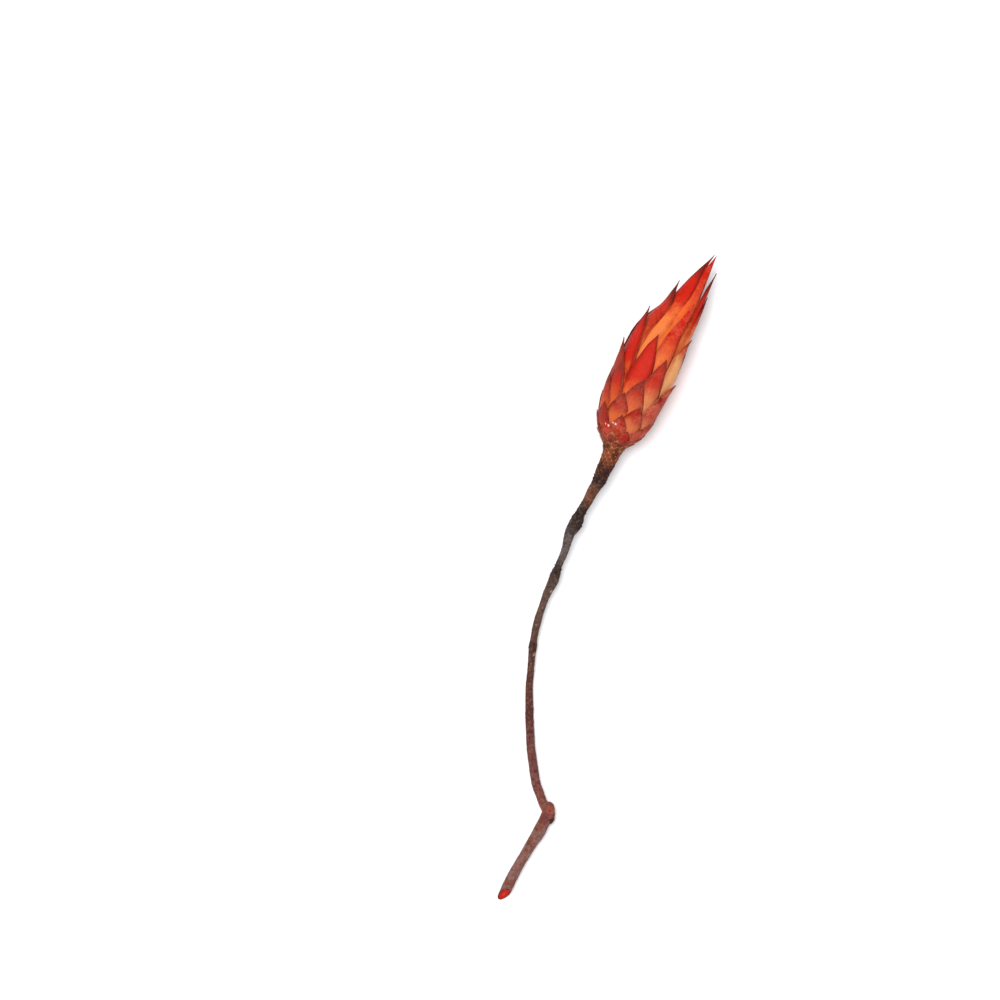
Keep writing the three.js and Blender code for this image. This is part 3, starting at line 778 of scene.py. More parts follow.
def mesh_of(name: str, points: np.ndarray, faces: Sequence[Sequence[int]]) -> bpy.types.Mesh:
    """A smooth-shaded mesh."""
    mesh = bpy.data.meshes.new(name)
    mesh.from_pydata(points.tolist(), [], faces, shade_flat=False)
    mesh.update()
    return mesh


def vectors_of(layer: bpy.types.bpy_prop_collection, name: str) -> np.ndarray:
    """The vectors that a mesh keeps under a name for its points."""
    values = np.empty(len(layer) * 3, np.float32)
    layer.foreach_get(name, values)
    return values.reshape(-1, 3).astype(float)


def carry(mesh: bpy.types.Mesh, **values: np.ndarray) -> None:
    """Keep named values on a mesh's points."""
    for name, numbers in values.items():
        layer = mesh.attributes.new(name, "FLOAT", "POINT")
        layer.data.foreach_set("value", np.ascontiguousarray(numbers, dtype=np.float32))


def stand(name: str, mesh: bpy.types.Mesh) -> bpy.types.Object:
    """Put a mesh into the scene as an object at the origin."""
    thing = bpy.data.objects.new(name, mesh)
    bpy.context.scene.collection.objects.link(thing)
    return thing


def settled(thing: bpy.types.Object) -> bpy.types.Object:
    """Turn an object with modifiers into one with the plain mesh that they make.

    Args:
        thing: The object.

    Returns:
        The same object, with the new mesh and no modifiers.
    """
    bpy.context.view_layer.update()
    seen = bpy.context.evaluated_depsgraph_get()
    grown = bpy.data.meshes.new_from_object(
        thing.evaluated_get(seen), preserve_all_data_layers=True, depsgraph=seen,
    )
    thing.modifiers.clear()
    old, thing.data = thing.data, grown
    grown.name = old.name
    bpy.data.meshes.remove(old)
    return thing


def open_tree(name: str, start: str, inputs: dict[str, str]) -> tuple[Graph, dict[str, str]]:
    """Make a modifier's node tree with its inputs and its output, and nothing between them yet.

    Args:
        name: Its name.
        start: What the points that it starts from are called.
        inputs: Its other inputs' kinds, by name.

    Returns:
        The tree, and the identifiers of its other inputs, by name.
    """
    tree = bpy.data.node_groups.new(name, "GeometryNodeTree")
    new_socket = tree.interface.new_socket
    new_socket(name=start, in_out="INPUT", socket_type="NodeSocketGeometry")
    sockets = {
        title: new_socket(name=title, in_out="INPUT", socket_type=f"NodeSocket{kind}").identifier
        for title, kind in inputs.items()
    }
    new_socket(name="Piece", in_out="OUTPUT", socket_type="NodeSocketGeometry")
    return Graph(tree), sockets


def run_tree(
    thing: bpy.types.Object, graph: Graph, sockets: dict[str, str], values: dict[str, object],
) -> bpy.types.Object:
    """Run a node tree on an object.

    Args:
        thing: The object.
        graph: The tree.
        sockets: Identifiers of its inputs, by name.
        values: What goes into them, by name.

    Returns:
        The object, with the plain mesh that the tree makes.
    """
    modifier = thing.modifiers.new(graph.tree.name, "NODES")
    modifier.node_group = graph.tree
    for title, value in values.items():
        modifier[sockets[title]] = value
    return settled(thing)


def dispose(*things: bpy.types.Object) -> None:
    """Take helper objects out of the scene again."""
    for thing in things:
        data = thing.data
        bpy.data.objects.remove(thing)
        {bpy.types.Mesh: bpy.data.meshes, bpy.types.Curve: bpy.data.curves}[type(data)].remove(data)


def register(piece: bpy.types.Object, slot: Slot, *nodes: str) -> None:
    """Say what a piece rides on, which finish it takes and which CAD nodes it stands for."""
    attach(piece, "root")
    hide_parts(*nodes)
    mesh = piece.data
    mesh.calc_loop_triangles()
    log.info("%s: %d triangles, finish %s", piece.name, len(mesh.loop_triangles), slot.value)


def ring_turns(sides: int) -> np.ndarray:
    """Angles of the points of a ring."""
    return np.arange(sides) * 2 * math.pi / sides


def ring_faces(rings: int, sides: int, first: int, last: int, start: int = 0) -> list[tuple[int, ...]]:
    """Close rings of points into a shell that faces outwards.

    Args:
        rings: How many rings.
        sides: Points in a ring.
        first: The point that closes the first ring.
        last: The point that closes the last ring.
        start: The first ring's first point.

    Returns:
        The faces.
    """
    faces: list[tuple[int, ...]] = []
    end = start + (rings - 1) * sides
    for low in range(start, end, sides):
        for k in range(sides):
            a, b = low + k, low + (k + 1) % sides
            faces.append((a, b, b + sides, a + sides))
    for k in range(sides):
        after = (k + 1) % sides
        faces += [(first, start + after, start + k), (last, end + k, end + after)]
    return faces


def tube(line: GrowthLine, stops: np.ndarray, sides: int, radius: Callable[[float, float], float]) -> Shell:
    """Make a round rod along a growth line.

    Args:
        line: The line.
        stops: Distances of its rings.
        sides: Points in a ring.
        radius: Radius by distance and turn.

    Returns:
        Its points and faces, closed at both ends.
    """
    turns = ring_turns(sides)
    radii = np.array([[radius(float(d), float(a)) for a in turns] for d in stops])
    rings = line.place(stops[:, None], turns[None, :], radii).reshape(-1, 3)
    points = np.vstack([rings, line.centre(stops[:1]), line.centre(stops[-1:])])
    return points, ring_faces(len(stops), sides, len(rings), len(rings) + 1)


def blade_blank(name: str, rows: int, columns: int, spread: float = 1.25) -> bpy.types.Object:
    """Make the flat blank that every blade of a piece is bent from.

    Args:
        name: The object's name.
        rows: Rings from foot to tip.
        columns: Steps from margin to margin.
        spread: How much closer the rings stand towards the tip.

    Returns:
        A closed mesh whose points carry their place along (run), across and through (face) the blade.
    """
    front = [(-1 + 2 * k / columns, 0.5 if k in (0, columns) else 0.0) for k in range(columns + 1)]
    back = [(1 - 2 * k / columns, 1.0) for k in range(1, columns)]
    loop = front + back
    runs = [1 - (1 - i / rows) ** spread for i in range(rows)]
    spots = [(run, across, face) for run in runs for across, face in loop]
    foot, tip = len(spots), len(spots) + 1
    values = np.array(spots + [(0.0, 0.0, 0.5), (1.0, 0.0, 0.5)])
    blank = mesh_of(name, values[:, [1, 0, 2]], ring_faces(rows, len(loop), foot, tip))
    carry(blank, run=values[:, 0], across=values[:, 1], face=values[:, 2])
    return stand(name, blank)


# ---------------------------------------------------------------- bracts


@dataclass(frozen=True)
class Bract:
    """Everything that is particular to one bract, in millimetres and radians."""

    seed: float
    tip: float
    foot: float
    length: float
    width: float
    turn: float
    flare: float
    lift: float
    sink: float
    deepest: float
    layered: float
    bow: float
    orange: float
    yellow: float
    red: float
    dark: float
    dust: float
    woody: float


# How the dye took on the bracts that show most: how far up it is orange, how yellow, how red, how dark the
# point is (above 1 the dark spreads down the bract) and how dusty the face is.
DYES = {
    0: (0.57, 0.0, 1.0, 0.4, 0.7), 2: (0.5, 0.3, 0.9, 0.6, 0.1), 3: (0.45, 0.2, 0.8, 1.2, 0.1),
    5: (0.51, 0.25, 0.9, 0.9, 0.0), 6: (0.66, 0.4, 0.95, 1.1, 0.1), 7: (0.42, 0.1, 0.75, 1.3, 0.3),
    8: (0.46, 0.2, 1.0, 0.2, 0.8), 10: (0.3, 0.1, 0.85, 1.0, 0.05), 11: (0.74, 1.0, 0.7, 0.6, 0.3),
    13: (0.32, 0.1, 0.85, 0.6, 0.1), 15: (0.3, 0.1, 0.2, 1.2, 0.2), 16: (0.5, 0.6, 0.9, 0.9, 0.3),
    18: (0.5, 0.0, 0.7, 1.6, 0.1), 19: (0.2, 0.5, 0.6, 0.8, 1.0), 21: (0.58, 0.1, 0.5, 1.5, 0.6),
    23: (0.5, 0.0, 0.4, 1.4, 0.3), 24: (0.4, 0.6, 0.5, 0.9, 1.0), 26: (0.5, 0.1, 0.2, 1.0, 0.4),
    28: (0.3, 0.0, 0.1, 1.3, 0.2), 29: (0.5, 0.3, 0.4, 1.0, 0.6), 31: (0.3, 0.0, 0.1, 1.2, 0.1),
    32: (0.3, 0.5, 0.4, 0.8, 1.0), 34: (0.3, 0.2, 0.3, 1.2, 0.6), 37: (0.4, 0.4, 0.4, 0.9, 0.8),
}


def stray_of(number: int, salt: float) -> float:
    """A fixed stray of -1 to 1 for a bract."""
    return 2 * math.modf(abs(math.sin(number * 12.9898 + salt * 78.233) * 43758.5453))[0] - 1


def bract_of(number: int) -> Bract:
    """Work out one bract from the growth rule.

    Args:
        number: Its place in the order, 0 the innermost.

    Returns:
        Its measures and how the dye took on it.
    """
    turn, rise, stands, broad = STRAYS.get(number, (0, 0, 0, 1))
    tip = along(TIP_HEIGHTS, number) + rise
    inner = number <= LAST_INNER
    close = number > LAST_BLADE
    length, width = along(BRACT_LENGTHS, tip), along(BRACT_WIDTHS, tip) * broad
    lift, sink = 0.0, min(LAYER_LENGTH, length * LAYER_SHARE)
    foot = CUP_FLOOR + GAP + FOOT_ROOM if inner else tip - min(length, LONGEST_OUTER)
    if close:
        radius = along(HEAD_OUTLINE, tip)
        length = (tip - along(TIP_HEIGHTS, number + LATTICE_SPAN)) * LATTICE_COVER[0]
        width = math.radians(LATTICE_TURN) * radius * LATTICE_COVER[1]
        foot = tip - length
        lift, share = OUTER_SETTLED if number <= LAST_OUTER else SCALE_SETTLED
        sink = LAYER * length / (share * radius)
    around = math.radians(BEAK_TURN + GOLDEN_TURN * number + turn)
    woody = 0.0
    if inner:
        dye = (0.5, 0.3, 0.85, 0.8, 0.15)
    elif not close:
        dye = (0.42, 0.2, 0.4, 1.1, 0.5)
    elif number <= LAST_OUTER:
        woody = min(1.0, max(0.0, (WOODY_FROM - tip) / 4 + 0.3 - 0.5 * math.sin(around)))
        dye = (0.3, 0.4, 0.5 + 0.3 * stray_of(number, 5) + 0.3 * woody, 1.0 - woody, 0.6)
    else:
        woody = 1.0
        dye = (0.0, 0.3, min(1.0, max(0.0, (tip + 5) / 8)), 0.0, 0.3)
    orange, yellow, red, dark, dust = DYES.get(number, dye)
    return Bract(
        seed=math.modf(number * GOLDEN_SHARE)[0] * 10, tip=tip, foot=foot, length=length, width=width,
        turn=around, flare=TIP_FLARE + stands if not close else 0.0, lift=lift, sink=sink,
        deepest=99.0 if inner else DEEPEST_OUTER, layered=1.0 if inner else 0.0,
        bow=1.0 if close else BLADE_BOW, orange=orange, yellow=yellow, red=red, dark=dark, dust=dust,
        woody=woody,
    )


class Whorl:
    """A node tree that bends one blank blade for each bract round the growth line.

    Its named inputs are the blank, the growth line, where the neck lies on it, the blade's thickness, how
    much a blade waves, the seed of its waves and the finish.
    """

    INPUTS = {
        "Blank": "Object", "Growth line": "Object", "Neck at": "Float", "Thickness": "Float", "Wave": "Float",
        "Seed": "Float", "Finish": "Material",
    }

    def __init__(
        self, name: str, outline: Pairs, shape: Callable[[float], float], round_section: bool = False,
    ) -> None:
        """Build the tree.

        Args:
            name: Its name.
            outline: Radius of the whole by height.
            shape: Width of a blade by its place from foot to tip.
            round_section: Straws instead of blades.
        """
        self.graph, self.sockets = open_tree(name, "Bracts", self.INPUTS)
        graph = self.graph
        given = graph.node("NodeGroupInput").outputs
        line, blank = (
            graph.node("GeometryNodeObjectInfo", {"Object": given[title]}).outputs["Geometry"]
            for title in ("Growth line", "Blank")
        )
        placed = graph.node("GeometryNodeInstanceOnPoints", {"Points": given["Bracts"], "Instance": blank})
        real = graph.node("GeometryNodeRealizeInstances", {"Geometry": placed.outputs[0]})
        facts = {item.name: graph.attribute(item.name) for item in fields(Bract)}
        run, across, face = (graph.attribute(name) for name in ("run", "across", "face"))

        height = facts["foot"] + run * (facts["tip"] - facts["foot"])
        reach = (height - facts["tip"] + facts["length"]) / facts["length"]
        span = (outline[0][0], outline[-1][0])
        whole = graph.curve(height, lambda x: along(outline, x), span)
        if round_section:
            whole = whole * facts["lift"]
            depth: Value = 0.0
            lift: Value = 0.0
        else:
            over = graph.step(height, OUTER_TIPS + 4, OUTER_TIPS - 3)
            under = graph.math("MAXIMUM", (OUTER_TIPS - height) * (LAYER / LAYER_LENGTH), 0.0) + LAYER
            layers = graph.math("MINIMUM", under, DEEPEST_ROOM) * over * facts["layered"]
            sunk = (facts["tip"] - height) * LAYER / facts["sink"]
            depth = graph.math("MAXIMUM", graph.math("MINIMUM", sunk, facts["deepest"]), layers)
            lift = facts["lift"]
        flared = graph.math("MAXIMUM", (reach - 0.65) / 0.35, 0.0) ** 2.0 * facts["flare"]
        seed = facts["seed"] + Field(graph, given["Seed"])
        wave = Field(graph, given["Wave"])
        sway = graph.noise(graph.combined(reach * 2.2, seed, 0.0), 1.0) - 0.5
        ripple = graph.noise(graph.combined(reach * 5.0, across * 1.2, seed + 3.0), 1.0) - 0.5
        radius = graph.math("MAXIMUM", whole - depth + lift, CORE_RADIUS) + flared + ripple * wave

        half = (facts["width"] * graph.curve(reach, shape, (0.0, 1.0)) + 0.16) * 0.5
        bow = graph.math("MAXIMUM", radius * facts["bow"], half * 0.95)
        angle = across * half / bow
        side = graph.math("ABSOLUTE", across)
        thick = Field(graph, given["Thickness"])
        if not round_section:
            thinned = (1.0 - side**3.0 * 0.8) * (1.0 - graph.step(reach, 0.86, 1.0) * 0.6)
            ribs = graph.math("COSINE", across * 21.0) * 0.035 * (1.0 - side)
            keel = (1.0 - side) ** 2.0 * 0.22 * graph.step(reach, 0.2, 0.7)
            inward: Value = face * thick * thinned
            out = keel + ribs - inward
        else:
            inward = 0.0
            out = (0.5 - face) * thick
        stem = graph.node("GeometryNodeSampleCurve", {"Curves": line}, mode="LENGTH")
        graph.feed(stem.inputs["Length"], height + Field(graph, given["Neck at"]))
        centre, tangent = Field(graph, stem.outputs["Position"]), Field(graph, stem.outputs["Tangent"])
        level = graph.vector_math("NORMALIZE", graph.vector_math("CROSS_PRODUCT", tangent, (0.0, 0.0, 1.0)))
        up = graph.vector_math("CROSS_PRODUCT", level, tangent)
        turn = facts["turn"] + sway * wave * 0.25
        cosine, sine = graph.math("COSINE", turn), graph.math("SINE", turn)
        outward = graph.sum_of(graph.scaled(up, cosine), graph.scaled(level, sine))
        sideways = graph.vector_math("SUBTRACT", graph.scaled(level, cosine), graph.scaled(up, sine))
        bent = bow + out
        place = graph.sum_of(
            centre,
            graph.scaled(outward, radius - bow + bent * graph.math("COSINE", angle)),
            graph.scaled(sideways, bent * graph.math("SINE", angle)),
        )
        # A blade that the floor presses flat keeps its thickness: its back stays above its face.
        on_floor = graph.vector_math("MAXIMUM", place, graph.combined(FAR_BELOW, FAR_BELOW, inward))
        kept = graph.node("GeometryNodeStoreNamedAttribute", {
            "Geometry": real.outputs[0], "Name": "reach", "Value": reach,
        }, data_type="FLOAT", domain="POINT")
        moved = graph.node("GeometryNodeSetPosition", {
            "Geometry": kept.outputs[0], "Position": graph.scaled(on_floor, MM),
        })
        dressed = graph.node("GeometryNodeSetMaterial", {
            "Geometry": moved.outputs[0], "Material": given["Finish"],
        })
        graph.feed(graph.node("NodeGroupOutput").inputs[0], dressed.outputs[0])

    def grow(
        self, name: str, bracts: Sequence[Bract], rows: int, columns: int, finish: bpy.types.Material,
        thickness: float, wave: float,
    ) -> bpy.types.Object:
        """Grow a piece.

        Args:
            name: The piece's name.
            bracts: Its bracts.
            rows: Rings of a blade from foot to tip.
            columns: Steps of a blade from margin to margin.
            finish: Its material.
            thickness: Of a blade in its middle.
            wave: How far a blade waves.

        Returns:
            The piece as a plain mesh.
        """
        points = mesh_of(name, np.zeros((len(bracts), 3)), [])
        carry(points, **{
            item.name: np.array([getattr(bract, item.name) for bract in bracts]) for item in fields(Bract)
        })
        blank = blade_blank(f"{name}_blank", rows, columns)
        line = STALK.as_curve("growth_line", LINE_MARGIN)
        piece = run_tree(stand(name, points), self.graph, self.sockets, {
            "Blank": blank, "Growth line": line, "Neck at": STALK.zero + LINE_MARGIN, "Thickness": thickness,
            "Wave": wave, "Seed": WAVE_SEED, "Finish": finish,
        })
        dispose(blank, line)
        return piece


def joined(name: str, *things: bpy.types.Object) -> bpy.types.Object:
    """Join objects at the origin into the first one."""
    first, both = things[0], list(things)
    with bpy.context.temp_override(
        active_object=first, object=first, selected_objects=both, selected_editable_objects=both,
    ):
        bpy.ops.object.join()
    first.name = first.data.name = name
    return first


@dataclass
class BractPiece:
    """Bracts of one kind, with the woody body that they grow from."""

    name: str
    slot: Slot
    finish: Finish
    numbers: range
    rows: int
    columns: int
    thickness: float
    wave: float
    body_depth: float
    body_span: tuple[float, float]

    BODY_LOOKS = {
        "reach": 0.1, "across": 0.0, "seed": 1.0, "orange": 0.5, "yellow": 0.2, "red": 0.3, "dark": 0.2,
        "dust": 0.4, "woody": 0.5,
    }
    BODY_RINGS = 24
    BODY_SIDES = 40

    def body_radius(self, distance: float, _turn: float) -> float:
        """Radius of the woody body, which lies a given depth inside the head."""
        return max(along(HEAD_OUTLINE, distance) - self.body_depth, CORE_RADIUS)

    def core(self, material: bpy.types.Material) -> bpy.types.Object:
        """Make the woody body inside the bracts."""
        stops = np.linspace(*self.body_span, self.BODY_RINGS)
        points, faces = tube(STALK, stops, self.BODY_SIDES, self.body_radius)
        mesh = mesh_of(f"{self.name}_body", points * MM, faces)
        carry(mesh, **{title: np.full(len(points), value) for title, value in self.BODY_LOOKS.items()})
        mesh.materials.append(material)
        return stand(mesh.name, mesh)

    def build(self, whorl: Whorl) -> bpy.types.Object:
        """Build and dress the piece.

        Args:
            whorl: The tree that bends its blades.

        Returns:
            The piece.
        """
        material = self.finish.material()
        bracts = [bract_of(number) for number in self.numbers]
        piece = whorl.grow(self.name, bracts, self.rows, self.columns, material, self.thickness, self.wave)
        return joined(self.name, piece, self.core(material))


@dataclass
class Florets:
    """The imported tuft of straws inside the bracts."""

    count: int = 90
    foot: float = BASE_TOP + GAP
    top: float = 84.0
    spread: float = 5.0
    straw: float = 1.1
    wave: float = 0.5
    rows: int = 14
    columns: int = 3

    def build(self) -> bpy.types.Object:
        """Build and dress the tuft.

        Returns:
            The piece.
        """
        def straw_shape(t: float) -> float:
            """Even straw with a slightly thicker end that runs to a point."""
            return (1.0 + 0.35 * math.exp(-(((t - 0.9) / 0.05) ** 2))) * min(1.0, (1.001 - t) / 0.06)

        straws = []
        for i in range(self.count):
            share = math.sqrt((i + 0.5) / self.count)
            tip = self.top + self.spread * (1 - share) + 1.5 * stray_of(i, 3)
            straws.append(Bract(
                seed=math.modf(i * GOLDEN_SHARE)[0] * 10, tip=tip, foot=self.foot, length=tip - self.foot,
                width=self.straw, turn=math.radians(GOLDEN_TURN * i), flare=0.4 * share, lift=0.93 * share,
                sink=1.0, deepest=0.0, layered=0.0, bow=1.0, orange=0.5, yellow=0.5, red=0.5, dark=0.2,
                dust=0.2, woody=0.0,
            ))
        whorl = Whorl("tuft", TUFT_OUTLINE, straw_shape, round_section=True)
        material = FLORET_FINISH.material()
        return whorl.grow("florets", straws, self.rows, self.columns, material, self.straw * 0.9, self.wave)


# ---------------------------------------------------------------- twig


@dataclass
class Twig:
    """The twig with its scar rings and stumps, its knuckle and the old wood below, down to the cut."""

    sides: int = 24
    ring_step: float = 0.8
    voxel: float = 0.27
    wave: float = 0.07
    wood_radius: float = 1.9
    wood_taper: float = 0.03
    knuckle_rings: int = 19
    knuckle_sides: int = 28
    cut_room: float = 12.0  # bark further up the wood than this isn't cut
    cut_edge: float = 0.05  # bark this close to the cut stays smooth
    mapped_to: float = 8.0  # how far up the twig its bark is mapped
    mapped_step: float = 0.4
    floor_room: float = 0.12  # bark this close to the floor stays smooth
    strongest_scar: float = 0.18
    ageing: float = 1.2  # over how far the bark of the twig turns into that of the old wood
    scar_centre: Place = (-43.1, -199.2, 6.2)
    scar_radius: float = 1.5
    stubs: int = 24
    stub_sides: int = 6
    stub_rings: int = 4
    cut_sides: int = 48
    cut_rings: int = 12
    cut_depth: float = 0.35

    def bark_radius(self, distance: float, turn: float) -> float:
        """Radius of the twig's bark."""
        rough = sum(
            rise * math.exp(-(((distance - at) / reach) ** 2)) * math.sin(4 * turn + at)
            for at, reach, rise in SCAR_RINGS
        )
        return along(TWIG_OUTLINE, distance) + self.wave * math.sin(3 * turn + distance * 0.45) + rough

    def old_radius(self, distance: float, turn: float) -> float:
        """Radius of the old wood's bark."""
        return along(OLD_WOOD_OUTLINE, distance) + self.wave * math.sin(2 * turn + distance * 0.3)

    def cut_frame(self) -> tuple[Vector, Vector, Vector, Vector, Vector]:
        """Find the slanted cut.

        Returns:
            Where it crosses the wood's middle, the wood's outward, sideways and upward directions, and the
            direction that the cut faces.
        """
        end = Vector(OLD_WOOD.centre(np.array([OLD_WOOD.length]))[0])
        outward = Vector(OLD_WOOD.tangent(np.array([OLD_WOOD.length]))[0])
        sideways = Vector((0, 0, 1)).cross(outward).normalized()
        up = outward.cross(sideways)
        lean, right, rise = CUT_LEAN
        facing = (outward * lean + sideways * right + up * rise).normalized()
        return end - outward * CUT_BACK, outward, sideways, up, facing

    def knuckle(self) -> Shell:
        """Make the knuckle, a ball blunted where the side shoot was cut off."""
        turns = ring_turns(self.knuckle_sides)
        levels = np.linspace(-math.pi / 2, math.pi / 2, self.knuckle_rings + 2)[1:-1]
        ball = [
            (math.cos(b) * math.cos(a), math.cos(b) * math.sin(a), math.sin(b)) for b in levels for a in turns
        ]
        faces = ring_faces(self.knuckle_rings, self.knuckle_sides, len(ball), len(ball) + 1)
        points = np.array(ball + [(0, 0, -1), (0, 0, 1)], float)
        points[:, 0] = np.minimum(points[:, 0], KNUCKLE_FLAT + (points[:, 0] - KNUCKLE_FLAT) * 0.4)
        return points * np.array(KNUCKLE_HALF) + np.array(KNUCKLE_CENTRE), faces

    def rough_body(self) -> bpy.types.Object:
        """Join twig, knuckle and old wood into one skin of even small faces."""
        twig_stops = np.arange(-STALK.zero, NECK_FOOT + 0.2, self.ring_step)
        old_stops = np.arange(0, OLD_WOOD.length + 0.01, self.ring_step)
        shells = (
            tube(STALK, twig_stops, self.sides, self.bark_radius),
            tube(STALK, np.arange(NECK_FOOT - 3, NECK_TOP - 3, 1.0), self.sides,
                 lambda d, a: self.wood_radius - self.wood_taper * (d - NECK_FOOT)),
            tube(OLD_WOOD, old_stops, self.sides, self.old_radius),
            self.knuckle(),
        )
        all_points, all_faces, start = [], [], 0
        for points, faces in shells:
            all_points.append(points)
            all_faces += [tuple(start + corner for corner in face) for face in faces]
            start += len(points)
        thing = stand("stem", mesh_of("stem", np.vstack(all_points) * MM, all_faces))
        remesh = thing.modifiers.new("skin", "REMESH")
        remesh.mode = "VOXEL"
        remesh.voxel_size = self.voxel * MM
        remesh.use_smooth_shade = True
        smooth = thing.modifiers.new("soften", "SMOOTH")
        smooth.factor, smooth.iterations = 0.5, 4
        return settled(thing)

    def ringed(self, distance: float) -> float:
        """How rough the scar rings make the twig."""
        return max(
            math.exp(-(((distance - at) / reach) ** 2)) * rise / self.strongest_scar
            for at, reach, rise in SCAR_RINGS
        )

    def relief(self, here: Vector, distance: float, turn: float, old: float, ringed: float) -> float:
        """Find how far the bark stands out.

        Args:
            here: A point on it.
            distance: How far along its line the point is.
            turn: Its angle round the line.
            old: 1 on the old wood, 0 on the twig.
            ringed: How rough the scar rings make it there.

        Returns:
            The sum of fissures, creases, ridges and the scar of the cut shoot.
        """
        away = (here - Vector(KNUCKLE_CENTRE)).length
        calm = min(1.0, max(0.0, (away - CALM_FROM) / (CALM_TO - CALM_FROM)))
        cosine, sine = math.cos(turn), math.sin(turn)
        spot = Vector((cosine * 1.6, sine * 1.6, distance * 0.14 + old * 50))
        fissure = (noise.noise(spot * 1.7) * 0.12 + noise.noise(spot * 4.1) * 0.08) * calm
        band = Vector((cosine * 1.2, sine * 1.2, distance * 1.25))
        crease = max(0.0, 1 - abs(noise.noise(band)) * 5) * 0.34 * ringed
        ridges = noise.noise(band * 1.6) * 0.3 * ringed + noise.noise(here * 1.4) * (0.1 + 0.24 * ringed)
        away = (here - Vector(self.scar_centre)).length / self.scar_radius
        scar = 0.28 * math.exp(-(((away - 1.0) / 0.22) ** 2)) - 0.3 * math.exp(-((away / 0.7) ** 4))
        return fissure + ridges - crease + scar + 0.06

    def build(self) -> bpy.types.Object:
        """Build and dress the twig.

        Returns:
            The piece.
        """
        piece = self.rough_body()
        mesh = piece.data
        points, normals = vectors_of(mesh.vertices, "co") / MM, vectors_of(mesh.vertex_normals, "vector")
        count = len(points)

        point, outward, _, _, facing = self.cut_frame()
        beyond = (points - np.array(point)) @ np.array(facing)
        beyond[points[:, 1] > point.y + self.cut_room] = -1.0
        points -= (np.maximum(beyond, 0) / facing.dot(outward))[:, None] * np.array(outward)
        smooth = (beyond > -self.cut_edge) | (points[:, 2] < self.floor_room)

        spots = []
        for line, old, end in ((STALK, 0.0, self.mapped_to), (OLD_WOOD, 1.0, OLD_WOOD.length)):
            stops = np.arange(-line.zero, end, self.mapped_step)
            spots += zip(stops.tolist(), [old] * len(stops), line.centre(stops), *line.across(stops))
        tree = kdtree.KDTree(len(spots))
        for k, spot in enumerate(spots):
            tree.insert(Vector(spot[2]), k)
        tree.balance()
        run, around, ring = (np.zeros(count) for _ in range(3))
        for i in range(count):
            here = Vector(points[i])
            distance, old, centre, side, up = spots[tree.find(here)[1]]
            away = points[i] - centre
            around[i] = turn = math.atan2(float(away @ side), float(away @ up))
            run[i] = distance - OLD_RUN * old
            ring[i] = ringed = 0.0 if old else self.ringed(distance)
            if not smooth[i]:
                points[i] += normals[i] * self.relief(here, distance, turn, old, ringed)
        points[:, 2] = np.maximum(points[:, 2], 0.0)
        aged = 1 / (1 + np.exp((points[:, 1] - OLD_WOOD_Y) / self.ageing))
        mesh.vertices.foreach_set("co", (points * MM).astype(np.float32).ravel())
        carry(mesh, run=run, around=around, old=aged, ring=ring)
        mesh.update()
        mesh.materials.clear()
        mesh.materials.append(BARK_FINISH.material())
        return joined("stem", piece, self.stumps(mesh.materials[0]))

    def stumps(self, material: bpy.types.Material) -> bpy.types.Object:
        """Grow the stumps of shed leaves and finer bristles on the scar rings with a node tree.

        Args:
            material: The bark.

        Returns:
            The stumps as a plain mesh.
        """
        feet, tips, sizes = [], [], []
        for i in range(self.stubs * 4):
            at, reach, _ = SCAR_RINGS[i % 3]
            fine = i >= self.stubs
            distance = at + reach * (0.6 * math.sin(i * 3.1) + (0.5 * stray_of(i, 2) if fine else 0))
            turn = math.radians(GOLDEN_TURN * i)
            length = (0.7 + 0.2 * math.cos(i * 1.7)) * (0.6 + 0.3 * stray_of(i, 4) if fine else 1.0)
            radius = self.bark_radius(distance, turn)
            feet.append(STALK.place(distance, turn, radius - 0.35))
            tips.append(STALK.place(distance + length * 0.9, turn, radius + length * 0.75))
            sizes.append(0.3 if fine else 0.45)
        ways = np.array(tips) - np.array(feet)
        lengths = np.linalg.norm(ways, axis=1)
        seat = mesh_of("stumps", np.array(feet) * MM, [])
        layer = seat.attributes.new("heading", "FLOAT_VECTOR", "POINT")
        layer.data.foreach_set("vector", (ways / lengths[:, None]).astype(np.float32).ravel())
        looks = {"run": -30.0, "around": 0.0, "old": 0.0, "ring": 1.0}
        carry(seat, tall=lengths, thick=np.array(sizes), **{
            title: np.full(len(feet), value) for title, value in looks.items()
        })
        blank = self.stump_blank()
        inputs = {"Stump": "Object", "Size": "Float", "Bark": "Material"}
        graph, sockets = open_tree("stumps", "Seats", inputs)
        given = graph.node("NodeGroupInput").outputs
        shape = graph.node("GeometryNodeObjectInfo", {"Object": given["Stump"]}).outputs["Geometry"]
        heading = {"Name": "heading"}
        way = graph.field("GeometryNodeInputNamedAttribute", heading, data_type="FLOAT_VECTOR")
        turned = graph.field("FunctionNodeAlignRotationToVector", {"Vector": way}, axis="Z")
        size = Field(graph, given["Size"])
        thick, tall = graph.attribute("thick") * size, graph.attribute("tall") * size
        placed = graph.node("GeometryNodeInstanceOnPoints", {
            "Points": given["Seats"], "Instance": shape, "Rotation": turned,
            "Scale": graph.combined(thick, thick, tall),
        })
        real = graph.node("GeometryNodeRealizeInstances", {"Geometry": placed.outputs[0]})
        dressed = graph.node("GeometryNodeSetMaterial", {
            "Geometry": real.outputs[0], "Material": given["Bark"],
        })
        graph.feed(graph.node("NodeGroupOutput").inputs[0], dressed.outputs[0])
        values = {"Stump": blank, "Size": MM, "Bark": material}
        thing = run_tree(stand("stumps", seat), graph, sockets, values)
        dispose(blank)
        return thing

